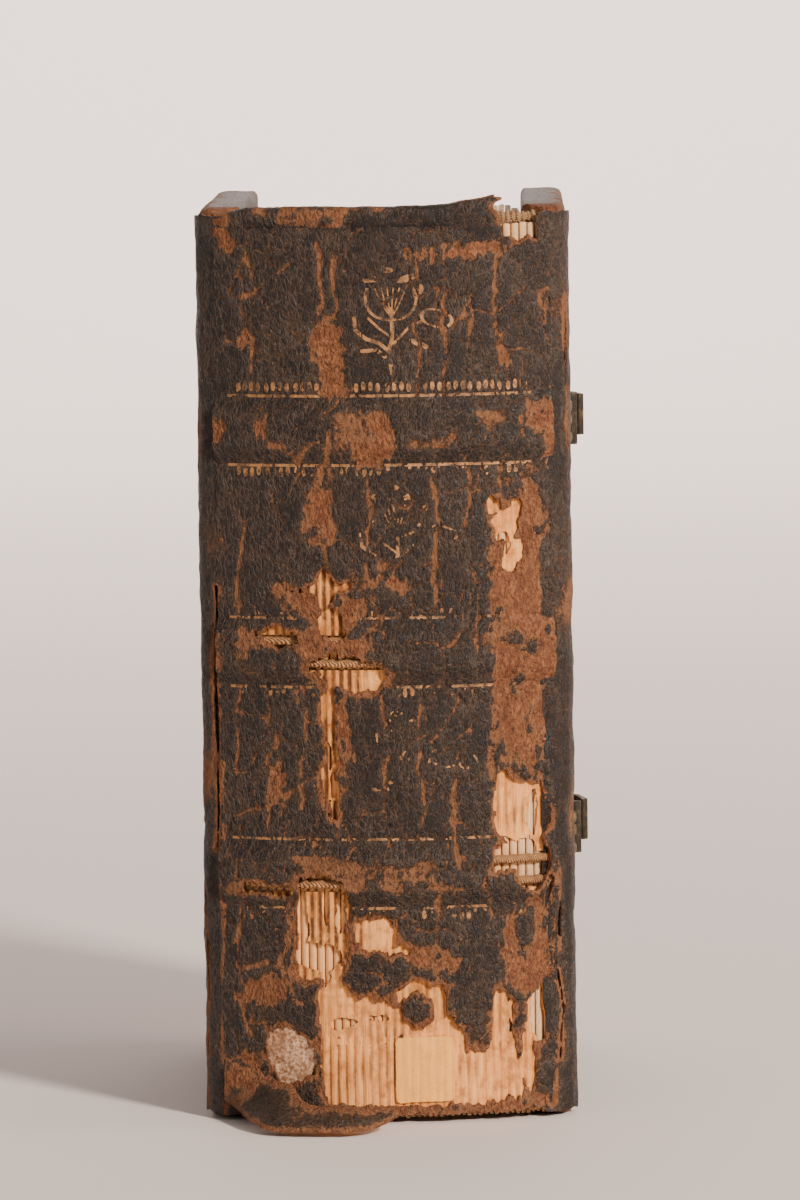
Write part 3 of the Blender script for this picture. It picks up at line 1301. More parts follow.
            def face(s: Array, z: Array) -> Array:
                """Outer side of the scrap."""
                soft = pleated * self.pleats(s) + lumps * 0.45 * (
                    waves(s, z, 1.8, 91, 3) + 0.3 * waves(s, z, 0.7, 93, 2)
                )
                return self.shape.point(s, z, self.shape.folds + 0.62 + lift + soft)

            def back(s: Array, z: Array) -> Array:
                """Inner side of the scrap."""
                return self.shape.point(s, z, self.shape.folds + 0.58 + min(lift, 0.0) + 0 * s)

            margin, cell = 1.5, 0.22
            columns = np.arange(outline.s - outline.wide - margin, outline.s + outline.wide + margin, cell)
            rows = np.arange(outline.z - outline.tall - margin, outline.z + outline.tall + margin, cell)
            fields = {
                "groove": lambda s, z: 2.6 * pleated * (1 - self.pleats(s)) * (0.5 + waves(s, z, 5, 94, 2))
            }
            obj = Skin(name, columns, rows, face, back, solid, fields).build()
            settle(finish_with(obj, material), "text_block", "spine_lining")

    def endpapers(self) -> None:
        """Builds the outer leaves and flyleaves with soft worn corners."""
        amount = 0.05
        for node, body, slot in (
            ("first_leaves", "first_gathering", "leaf_paper"),
            ("last_leaves", "last_gathering", "leaf_paper"),
            ("front_flyleaf", "front_endleaf", "endpaper"),
            ("back_flyleaf", "back_endleaf", "endpaper"),
        ):
            lo, hi = low(node), high(node)
            middle, half = (lo[0] + hi[0]) / 2, (hi[0] - lo[0]) / 2

            def shaped(y: Array, z: Array, side: float) -> Array:
                """One side of the sheet, which thins out at its edges."""
                ripple = amount * waves(y, z, 22, 95, 2) * step(0, 20, y - lo[1])
                edge = np.minimum.reduce([hi[1] - y, z - lo[2], hi[2] - z])
                thin = half * (0.55 + 0.45 * step(0.0, 0.8, edge))
                return np.stack([middle + ripple + side * thin, y, z], axis=-1)

            def outline(y: Array, z: Array) -> Array:
                """Distance inside the sheet's worn outline."""
                inset = 0.5 + 0.35 * waves(y, z, 11, 96, 3)
                corner = (y - lo[1]) - (hi[1] - lo[1]) + np.minimum(z - lo[2], hi[2] - z) * -1 + 2.6
                return np.minimum.reduce(
                    [hi[1] - y - inset, z - lo[2] - inset, hi[2] - z - inset, -corner + 1.2, y - lo[1] + 9]
                )

            ys = np.linspace(lo[1], hi[1], 110)
            zs = np.linspace(lo[2], hi[2], 170)
            sign = 1.0 if middle > 0 else -1.0
            skin = Skin(
                f"{node}_sheet", ys, zs, lambda y, z: shaped(y, z, sign), lambda y, z: shaped(y, z, -sign),
                outline
            )
            obj = skin.build()
            finish_with(outward(obj), self.finish.endpaper if slot == "endpaper" else self.finish.leaves)
            settle(obj, body, slot, node)


@dataclass
class Sewing:
    """The double cords, the kettle stitches and the endbands."""

    shape: SpineRound
    finish: Finishes
    pair: float = 4.0
    lay: float = 5.0

    def __post_init__(self) -> None:
        """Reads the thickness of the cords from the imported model."""
        self.cord = float(high("sewing_cord_2")[2] - low("sewing_cord_2")[2] - self.pair) / 2

    def rope(self, z0: float) -> tuple[Array, Array]:
        """Points and faces of one three-strand cord round the spine at the height z0."""
        ring = self.shape.folds + 0.05 + self.cord
        along, around = 260, 24
        reach = ring * math.radians(28.4)
        run, turn = np.meshgrid(
            np.linspace(-reach, reach, along), np.arange(around) / around * 2 * np.pi, indexing="ij"
        )
        strand = np.abs(np.sin(1.5 * (turn - run / self.lay * 2 * np.pi / 1.5)))
        hairs = 0.03 * waves(run * 2 + turn * 3, run, 1.1, 101, 3)
        r = self.cord * (0.80 + 0.17 * strand + hairs)
        radius = ring + r * np.cos(turn)
        angle = run / ring
        points = np.stack(
            [radius * np.sin(angle), self.shape.axis_y - radius * np.cos(angle), z0 + r * np.sin(turn)],
            axis=-1
        ).reshape(-1, 3)
        index = np.arange(along * around).reshape(along, around)
        nxt = np.roll(index, -1, axis=1)
        quads = np.stack([index[:-1], nxt[:-1], nxt[1:], index[1:]], axis=-1).reshape(-1, 4)
        ends = np.array([points[index[0]].mean(axis=0), points[index[-1]].mean(axis=0)])
        start, last = len(points), len(points) + 1
        caps = [[start, nxt[0, k], index[0, k]] for k in range(around)]
        caps += [[last, index[-1, k], nxt[-1, k]] for k in range(around)]
        return np.concatenate([points, ends]), quads.tolist() + caps

    def cords(self) -> None:
        """Builds the double cord of each band."""
        for n, band in enumerate(self.shape.bands, 1):
            first, faces = self.rope(band + self.pair / 2)
            second, _ = self.rope(band - self.pair / 2)
            more = [[k + len(first) for k in face] for face in faces]
            obj = outward(
                new_object(f"twisted_cord_{n}", np.concatenate([first, second]) * MM, faces + more, 70)
            )
            settle(finish_with(obj, self.finish.cord), "text_block", "linen_cord", f"sewing_cord_{n}")

    def endbands(self) -> None:
        """Winds the silk of the two endbands."""
        tree = Repeats.wound_tree()
        for node in ("head_endband", "tail_endband"):
            lo, hi = low(node), high(node)
            ring = self.shape.folds - 1.5
            angle = np.linspace(-27.0, 27.0, 90) * np.pi / 180
            z = (lo[2] + hi[2]) / 2 + 0.1 * waves(angle * 40, angle, 6, 105, 2)
            points = np.stack([ring * np.sin(angle), self.shape.axis_y - ring * np.cos(angle), z], axis=-1)
            sizes = {
                "Pitch": 1.02 * MM, "Ring": 0.72 * MM, "Thread": 0.40 * MM, "Slant": 0.5,
                "Finish": self.finish.silk
            }
            obj = Repeats.run(Repeats.line(node + "_line", points), tree, sizes, f"wound_{node}")
            obj.data.shade_smooth()
            settle(obj, "text_block", "endband_silk", node)
        dress("sewing_thread", self.finish.cord)


# ---- leather of the spine

class Ornament(Enum):
    """Stamps of the gilt tooling."""

    CREST = "crest"
    SPRIG = "sprig"
    VOLUTE = "volute"


@dataclass
class SpineCover:
    """The torn leather over the spine with its cap, its tail flap and its gilt tooling."""

    shape: SpineRound
    damage: SpineDamage
    finish: Finishes
    cell: float = 0.46

    def leather(self) -> None:
        """Builds the main leather."""
        def inside(s: Array, z: Array) -> Array:
            """Flesh side of the leather, which follows the bands."""
            swell = np.zeros(np.shape(z))
            for band in self.shape.bands:
                swell += step(6.0, 2.9, np.abs(z - band))
            return self.shape.point(s, z, self.shape.leather_in + self.shape.bulge * swell + 0 * s)

        skin = Skin(
            "torn_spine_leather",
            np.linspace(-self.shape.edge, self.shape.edge, int(2 * self.shape.edge / self.cell)),
            np.arange(self.shape.bottom, self.shape.top, self.cell),
            lambda s, z: self.shape.point(s, z, self.damage.radius(s, z)), inside, self.damage.left,
            {"bare": self.damage.bare},
        )
        obj = finish_with(skin.build(60), self.finish.spine)
        settle(obj, "text_block", "spine_leather", "spine_leather")

    def cap(self) -> None:
        """Builds what is left of the cap over the head endband."""
        profile = (
            (63.5, 162.2), (64.0, 163.6), (64.3, 165.2), (64.2, 166.7), (63.3, 167.4), (61.8, 167.3),
            (60.7, 166.4), (60.4, 165.4)
        )
        ends_at = 24.0

        def shell(s: Array, v: Array, out: float) -> Array:
            """Outer or inner side of the cap, lifted towards its torn end."""
            place = sheet_path(profile, v)
            lift = step(8.0, 25.0, s)
            crumple = 0.30 * waves(s, v, 5.2, 111, 3) + 0.12 * waves(s * 2, v, 1.7, 112, 2)
            r = place[..., 0] + 1.3 * lift - place[..., 2] * (0 if out else 0.75) + crumple * step(0, 1.5, v)
            z = place[..., 1] + 2.2 * lift * step(0.0, 3.0, v) - place[..., 3] * (0 if out else 0.75)
            z = z + 0.5 * crumple * step(0, 1.5, v) - 0.9 * step(-24, -31, s) * step(1, 4, v)
            return self.shape.point(s, z, r)

        def solid(s: Array, v: Array) -> Array:
            """Distance inside the torn outline."""
            noise = 0.8 * waves(s, v, 3.0, 113, 3)
            right = ends_at + 1.6 * waves(v * 2, v * 0, 3.0, 114, 2) - 0.5 * v - s
            return np.minimum.reduce(
                [
                    right, 7.6 - v + 0.7 * noise - 1.6 * step(4, 22, s), s + 32.5 + 0.4 * noise,
                    v + 1.0 + 0 * s
                ]
            )

        def bare(s: Array, v: Array) -> Array:
            """How far the surface is rubbed off."""
            rim = 0.9 - solid(s, v) - 2 * step(1.2, 0.2, v)
            ridge = 1.9 * waves(s, v, 5, 115, 3) + 0.5 * step(2.6, 4.4, v) - 1.1
            corner = 1.2 - np.hypot(s + 31, v - 3.5) / 2.4
            return np.clip(np.maximum.reduce([rim, ridge, corner]), -3, 2.4)

        skin = Skin(
            "torn_head_cap", np.arange(-31.9, 27.5, 0.36), np.arange(0, 8.2, 0.36),
            lambda s, v: shell(s, v, 1.0), lambda s, v: shell(s, v, 0.0), solid, {"bare": bare},
        )
        obj = finish_with(skin.build(60), self.finish.spine)
        settle(obj, "text_block", "spine_leather", "head_cap")

    def flap(self) -> None:
        """Builds the flap that hangs and flares out at the left of the tail."""
        flare = 16.0

        def shell(s: Array, v: Array, out: float) -> Array:
            """Outer or inner side of the flap, which bends away from the spine."""
            fan = flare * step(-33, -16, s) * (1 - 0.35 * step(-8, 2, s))
            bend = step(1.0, 12.0, v)
            fold = 0.35 * waves(s * 1.2, v, 5.5, 121, 3) * step(0, 3, v) + 0.12 * waves(s, v, 1.8, 122, 2)
            r = self.shape.leather - 0.1 + 0.5 * step(0, 3, v) + fan * bend**1.3 + fold
            r = r + (0.0 if out else -0.85)
            z = 12.2 - v * (1.03 - 0.10 * bend) + 0.25 * waves(s, v, 6, 123, 2) * step(1, 4, v)
            return self.shape.point(s, np.maximum(z, 0.15 + 0.0 * s) + (0.0 if out else -0.1 * bend), r)

        def solid(s: Array, v: Array) -> Array:
            """Distance inside the torn outline."""
            noise = 0.55 * waves(s, v, 2.6, 124, 4)
            right = 0.6 - s + 0.9 * waves(v, v * 0, 4.0, 125, 2) - 2.6 * step(9.5, 12.2, v)
            bottom = 11.9 - v - 2.3 * step(-16, -32, s) + 0.45 * noise - 1.0 * step(-4, 1.0, s)
            top = v - 4.2 * step(-29, -23, s) - 3.8 * step(-22, -12, s) - 0.6 * step(-10, -6, s) + noise
            return np.minimum.reduce([right, bottom, top + 0.4, s + 32.4])

        def bare(s: Array, v: Array) -> Array:
            """How far the surface is rubbed off."""
            rim = 1.1 - solid(s, v)
            worn = 1.9 * waves(s, v, 4.5, 126, 4) - 0.35
            return np.clip(np.maximum(rim, worn), -3, 2.4)

        skin = Skin(
            "hanging_tail_flap", np.arange(-31.6, 2.6, 0.34), np.arange(0, 12.6, 0.34),
            lambda s, v: shell(s, v, 1.0), lambda s, v: shell(s, v, 0.0), solid, {"bare": bare},
        )
        obj = outward(finish_with(skin.build(60), self.finish.flap))
        settle(obj, "text_block", "spine_leather", "tail_flap")

    def drawn(self, kind: Ornament, s: Array, z: Array) -> Array:
        """Signed distance to a stamp that is centred on (0, 0)."""
        if kind is Ornament.CREST:
            lobes = [Loss(x, 0.9 + 0.25 * (abs(x) < 1), 0.42, 0.85) for x in (-1.95, -0.65, 0.65, 1.95)]
            return nearest(lobes, s, z)
        if kind is Ornament.VOLUTE:
            arc = [
                (
                    2.6 * math.cos(a) * (1 - a / 9), 2.6 * math.sin(a) * (1 - a / 9)
                ) for a in np.linspace(0, 5.6, 16)
            ]
            return nearest(
                (Crack(0.22, tuple(arc)), Loss(3.4, -1.2, 0.6, 1.5, 25), Loss(3.9, 1.2, 0.5, 1.3, -20)), s,
                z
            )
        bell = np.maximum(np.abs(Loss(0.1, 4.6, 4.6, 4.0).depth(s, z)) - 0.26, z - 6.4)
        strokes = [
            Crack(0.13, ((0.2, 0.9), (0.55 * x, 3.4), (x, 6.4))) for x in (-2.8, -1.6, -0.5, 0.6, 1.7, 2.9)
        ]
        tops = (
            Loss(-3.3, 8.0, 1.7, 0.55, 8), Loss(3.0, 8.1, 1.9, 0.6, 18), Loss(5.0, 5.9, 0.9, 1.3, -30),
            Loss(-0.6, 9.6, 1.2, 0.5)
        )
        stems = (
            Crack(0.34, ((0.2, 0.8), (0.3, -2.6), (-0.4, -5.2), (0.2, -9.2))),
            Crack(0.24, ((0.6, -3.6), (3.2, -0.9), (5.8, 0.4))),
            Crack(0.34, ((-6.6, 1.0), (-6.4, -1.2), (-4.4, -2.8), (-2.0, -3.6), (-0.4, -5.0))),
            Crack(0.34, ((-5.2, -5.0), (-2.6, -4.8), (-0.6, -6.4))),
            Crack(0.22, ((-4.0, 0.9), (-2.0, -1.0), (0.2, -2.6))),
        )
        leaf = np.abs(Loss(8.4, 0.8, 2.8, 1.5, -14).depth(s, z)) - 0.2
        return np.minimum.reduce(
            [bell, nearest((*strokes, *tops, *stems, Loss(5.2, -3.8, 2.0, 0.5, -24)), s, z), leaf]
        )

    def gilding(self) -> None:
        """Builds the worn gold of the rules, the crests and the sprigs as thin leaf."""
        def worn(s: Array, z: Array, share: float) -> Array:
            """Where gold is left, on leather that is whole and not rubbed."""
            there = np.minimum(self.damage.left(s, z) - 0.5, -0.25 - self.damage.bare(s, z))
            return np.minimum(there, share + 0.8 * waves(s, z, 3.4, 131, 3) + 0.5 * waves(s, z, 0.8, 132, 2))

        def thin(
            name: str, columns: Array, rows: Array, solid: Callable[[Array, Array], Array]
        ) -> Obj:
            """Leaf that lies on the leather where `solid` is positive."""
            return Skin(
                name, columns, rows, lambda s, z: self.shape.point(s, z, self.damage.radius(s, z) + 0.05),
                lambda s, z: self.shape.point(s, z, self.damage.radius(s, z) - 0.12), solid,
            ).build()

        across = np.arange(-29.5, 28.0, 0.24)
        rules = []
        for height in self.damage.rules():
            share = 0.7 if height > 100 else 0.1
            rows = np.linspace(height - 0.26, height + 0.26, 4)
            rules.append(thin("rule", across, rows, lambda s, z: worn(s, z, share)))
        self.gold(joined("gilt_rules", rules))
        crests = []
        pitch = 5.6
        fine = 0.17
        for height, up, share in (
            (133.7, 1, 0.75), (120.4, -1, 0.0), (92.6, 1, -0.4), (39.4, -1, -0.4), (80.2, -1, -0.4)
        ):
            def stamps(s: Array, z: Array) -> Array:
                """Row of crests along the spine."""
                local = (s + 100 * pitch) % pitch - pitch / 2
                return np.minimum(-self.drawn(Ornament.CREST, local, (z - height) * up), worn(s, z, share))

            rows = np.arange(height - 2.7, height + 2.7, fine)
            crests.append(thin("crest", np.arange(-28.5, 27.0, fine), rows, stamps))
        self.gold(joined("gilt_crests", crests))
        sprigs = []
        cell = 0.16
        for kind, s0, z0, size, share in (
            (Ornament.SPRIG, 1.6, 146.2, 1.0, 0.62), (Ornament.SPRIG, 2.2, 107.0, 0.98, 0.0),
            (Ornament.SPRIG, 2.4, 66.2, 0.95, -0.35), (Ornament.VOLUTE, 14.6, 66.0, 0.8, -0.2),
        ):
            def stamp(s: Array, z: Array) -> Array:
                """One stamp at its place and size."""
                shape = self.drawn(kind, (s - s0) / size, (z - z0) / size)
                return np.minimum(-shape * size, worn(s, z, share))

            reach = 11.8 * size
            columns = np.arange(s0 - reach, s0 + reach, cell)
            sprigs.append(thin("stamp", columns, np.arange(z0 - reach, z0 + reach, cell), stamp))
        self.gold(joined("gilt_sprigs", sprigs))

    def gold(self, obj: Obj) -> None:
        """Dresses a piece in worn gold."""
        settle(finish_with(obj, self.finish.gilt), "text_block", "spine_leather")


# ---- covers

@dataclass
class Cover:
    """One board with its leather, joint and endpaper."""

    shape: SpineRound
    finish: Finishes
    side: int
    skin: float = 1.15
    lining: float = 0.6
    round_spine: float = 3.15
    round_fore: float = 1.7
    turn_in: float = 14.0
    cuts: tuple[Crack, ...] = ()

    def __post_init__(self) -> None:
        """Reads the box of the covered board."""
        self.name = "front" if self.side > 0 else "back"
        lo, hi = low(f"{self.name}_board_leather"), high(f"{self.name}_board_leather")
        self.x0, self.x1 = sorted((abs(lo[0]), abs(hi[0])))
        self.y0, self.y1, self.z0, self.z1 = lo[1], hi[1], lo[2], hi[2]

    def wrapped(self, i: Array, j: Array, k: Array, inset: float) -> Array:
        """Places lattice shares (0 to 1) on the rounded block, moved in by the inset."""
        x0, x1 = self.x0 + (self.lining if inset else 0), self.x1 - inset
        y0, y1, z0, z1 = self.y0 + inset, self.y1 - inset, self.z0 + inset, self.z1 - inset
        x = x0 + (x1 - x0) * i
        y = y0 + (y1 - y0) * j
        z = z0 + (z1 - z0) * k
        large = max(self.round_spine - inset, 0.6)
        r = large + (self.round_fore - self.round_spine) * step(0.02, 0.10, j) * (1 if not inset else 0.4)
        ends = 1.5
        cx = np.clip(x, x0 + 0.7, x1 - r)
        cy = np.clip(y, y0 + r, y1 - r)
        cz = np.clip(z, z0 + ends, z1 - ends)
        dx, dy, dz = x - cx, y - cy, z - cz
        sx, sy, sz = np.where(dx > 0, r, 0.7), r, ends
        q = np.sqrt((dx / sx) ** 2 + (dy / sy) ** 2 + (dz / sz) ** 2)
        most = np.maximum.reduce([np.abs(dx / sx), np.abs(dy / sy), np.abs(dz / sz)])
        scale = np.where(q > 1e-9, most / np.maximum(q, 1e-9), 1.0)
        x, y, z = cx + dx * scale, cy + dy * scale, cz + dz * scale
        slope = (x - (self.x0 + 4.4)) / 4.4 + (y - (self.y0 + 3.9)) / 3.9 + 1
        cut = np.clip(-slope, 0, None)
        return np.stack([x + cut * 2.2, y + cut * 1.95, z], axis=-1)

    def tooled(self, y: Array, z: Array) -> Array:
        """Depth of the blind-tooled frames and lozenge on the side of the board."""
        edge = np.minimum.reduce([y - self.y0 - 3, self.y1 - y, z - self.z0, self.z1 - z])
        total = np.zeros(y.shape)
        for inset, width in ((7.5, 0.7), (9.6, 0.4), (21.0, 0.7), (23.0, 0.4)):
            total += step(width, width * 0.3, np.abs(edge - inset))
        cy, cz = (self.y0 + self.y1 + 3) / 2, (self.z0 + self.z1) / 2
        diamond = np.abs(y - cy) / 24 + np.abs(z - cz) / 42
        total += step(0.035, 0.012, np.abs(diamond - 1)) + 0.7 * step(0.030, 0.012, np.abs(diamond - 0.86))
        star = np.hypot(y - cy, z - cz)
        total += step(0.8, 0.3, np.abs(star - 8.0)) + step(
            0.25, 0.6, np.cos(np.arctan2(z - cz, y - cy) * 8)
        ) * step(7.4, 6.6, star) * 0.6
        return np.clip(total, 0, 1)

    def leather(self) -> None:
        """Builds the leather as a wrap with turned-in edges and tooled sides."""
        nx, ny, nz = 12, 92, 146
        cells, faces = box_lattice(nx, ny, nz)
        i, j, k = cells[:, 0] / nx, cells[:, 1] / ny, cells[:, 2] / nz
        low_y, high_y = int(0.06 * ny), int(ny * (1 - self.turn_in / (self.y1 - self.y0)))
        low_z, high_z = int(nz * self.turn_in / (self.z1 - self.z0)), int(
            nz * (1 - self.turn_in / (self.z1 - self.z0))
        )
        corners = cells[faces]
        window = (corners[..., 0] == 0).all(axis=1) & (corners[..., 1] >= low_y).all(axis=1)
        window &= (corners[..., 1] <= high_y).all(axis=1) & (corners[..., 2] >= low_z).all(axis=1)
        window &= (corners[..., 2] <= high_z).all(axis=1)
        faces = faces[~window]
        outer = self.wrapped(i, j, k, 0.0)
        inner = self.wrapped(i, j, k, self.skin)
        y, z = outer[:, 1], outer[:, 2]
        facing = step(0.9, 1.0, i)
        dent = -0.24 * facing * self.tooled(y, z) + facing * 0.13 * waves(y, z, 26, 141 + self.side, 3)
        dent += facing * 0.05 * waves(y, z, 4, 143, 2)
        outer[:, 0] += dent
        ragged = 0.30 * waves(y + z, i * 40, 7, 144, 3)
        outer[:, 1] += np.where(j == 1, ragged * 0.5, 0) - np.where(j == 0, ragged * 0.3, 0)
        outer[:, 2] += np.where(k == 1, ragged * 0.4, 0) + np.where(k == 0, np.abs(ragged) * 0.3, 0)
        edges = np.concatenate([faces[:, [a, (a + 1) % 4]] for a in range(4)])
        key = edges[:, 0] * len(cells) + edges[:, 1]
        rim = edges[~np.isin(key, edges[:, 1] * len(cells) + edges[:, 0])]
        count = len(cells)
        walls = np.stack([rim[:, 1], rim[:, 0], rim[:, 0] + count, rim[:, 1] + count], axis=-1)
        every = np.concatenate([faces, faces[:, ::-1] + count, walls])
        points = np.concatenate([outer, inner])
        points[:, 0] *= self.side
        if self.side < 0:
            every = every[:, ::-1]
        used, every = np.unique(every, return_inverse=True)
        obj = new_object(f"{self.name}_cover_leather", points[used] * MM, every.reshape(-1, 4), 50)
        to_edge = np.minimum.reduce(
            [y - self.y0, self.y1 - y, z - self.z0, self.z1 - z]
        ) + 0.9 * (self.x1 - outer[:, 0])
        corner = np.hypot(np.minimum(y - self.y0, self.y1 - y), np.minimum(z - self.z0, self.z1 - z))
        bare = 0.7 - to_edge / 1.7 + 0.9 * waves(y, z, 7, 145, 4)
        bare = np.maximum(bare, 2.0 - corner / 3.6 + 0.8 * waves(y, z, 5, 146, 3))
        bare = np.maximum(bare, 1.9 * waves(y, z, 17, 147 + self.side, 4) - 1.7)
        put_values(obj, "bare", np.tile(np.clip(bare, -3, 2.4), 2)[used])
        settle(
            finish_with(obj, self.finish.board), f"{self.name}_cover", "cover_leather",
            f"{self.name}_board_leather"
        )

    def joint(self) -> None:
        """Builds the leather strip of the hinge, which bends between spine and board."""
        front = self.shape.axis_y - self.shape.folds
        plan = (
            (28.0, 5.5), (29.5, 6.0), (30.9, 6.6), (32.1, 7.5), (33.0, 8.7), (33.65, 10.3), (33.8, 12.0),
            (33.7, 14.2)
        )

        def shell(u: Array, z: Array, out: float) -> Array:
            """Outer or inner side of the strip, dented along the joint."""
            place = sheet_path(plan, u)
            dent = -0.25 * np.exp(-((u - 4.2) / 1.1) ** 2) + 0.20 * waves(u, z, 9, 151 + self.side, 3)
            dent += 0.10 * waves(u * 2, z, 2.4, 152, 2) + (0.25 if out else -0.25)
            x = place[..., 0] + place[..., 2] * dent
            y = place[..., 1] + place[..., 3] * dent
            return np.stack([self.side * x, y + front, z], axis=-1)

        def solid(u: Array, z: Array) -> Array:
            """Distance inside the strip, away from its splits."""
            noise = 0.5 * waves(u * 2, z, 4.5, 153 + self.side, 4)
            ends = np.minimum(z - self.z0 - 1.3, self.z1 - 1.2 - z) + noise
            gap = nearest(self.cuts, u, z) + 0.7 * noise
            return np.minimum.reduce([ends, gap, 10.6 - u + 1.5 * noise, u - 0.2 + 0.5 * noise])

        def bare(u: Array, z: Array) -> Array:
            """How far the surface is rubbed off."""
            rim = 0.7 - nearest(self.cuts, u, z) - 0.6 * waves(u, z, 6, 157, 3)
            ridge = -0.3 - np.abs(u - 7.0) / 0.8 + 1.3 * waves(u, z, 14, 154 + self.side, 4)
            if self.side < 0:
                line = 1.1 - np.abs(
                    u - 2.6 - 0.5 * waves(z, u * 0, 9, 158, 2)
                ) / 0.45 + waves(u, z, 8, 159, 3)
                ridge = np.maximum(ridge, np.minimum(line, step(88, 84, z) * 3 - 2))
            worn = 1.7 * waves(u, z, 16, 156 + self.side, 4) - 1.2
            return np.clip(np.maximum.reduce([rim, ridge, worn]), -3, 2.4)

        rows = np.arange(self.z0 + 0.3, self.z1, 0.5)
        first, second = (1.0, 0.0)
        skin = Skin(
            f"{self.name}_joint_leather", np.arange(0, 12.2, 0.42), rows,
            lambda u, z: shell(u, z, first), lambda u, z: shell(u, z, second), solid, {"bare": bare},
        )
        obj = outward(finish_with(skin.build(60), self.finish.joint))
        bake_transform(obj)
        LOG.info("%s bends at the joint", obj.name)

    def inner_pieces(self) -> None:
        """Dresses the board, the cord ends, the pegs and the pastedown."""
        dress(f"{self.name}_board", self.finish.wood)
        dress(f"{self.name}_cord_slips", self.finish.cord)
        dress(f"{self.name}_board_pegs", self.finish.peg)
        dress(f"{self.name}_pastedown", self.finish.endpaper)


# ---- clasps

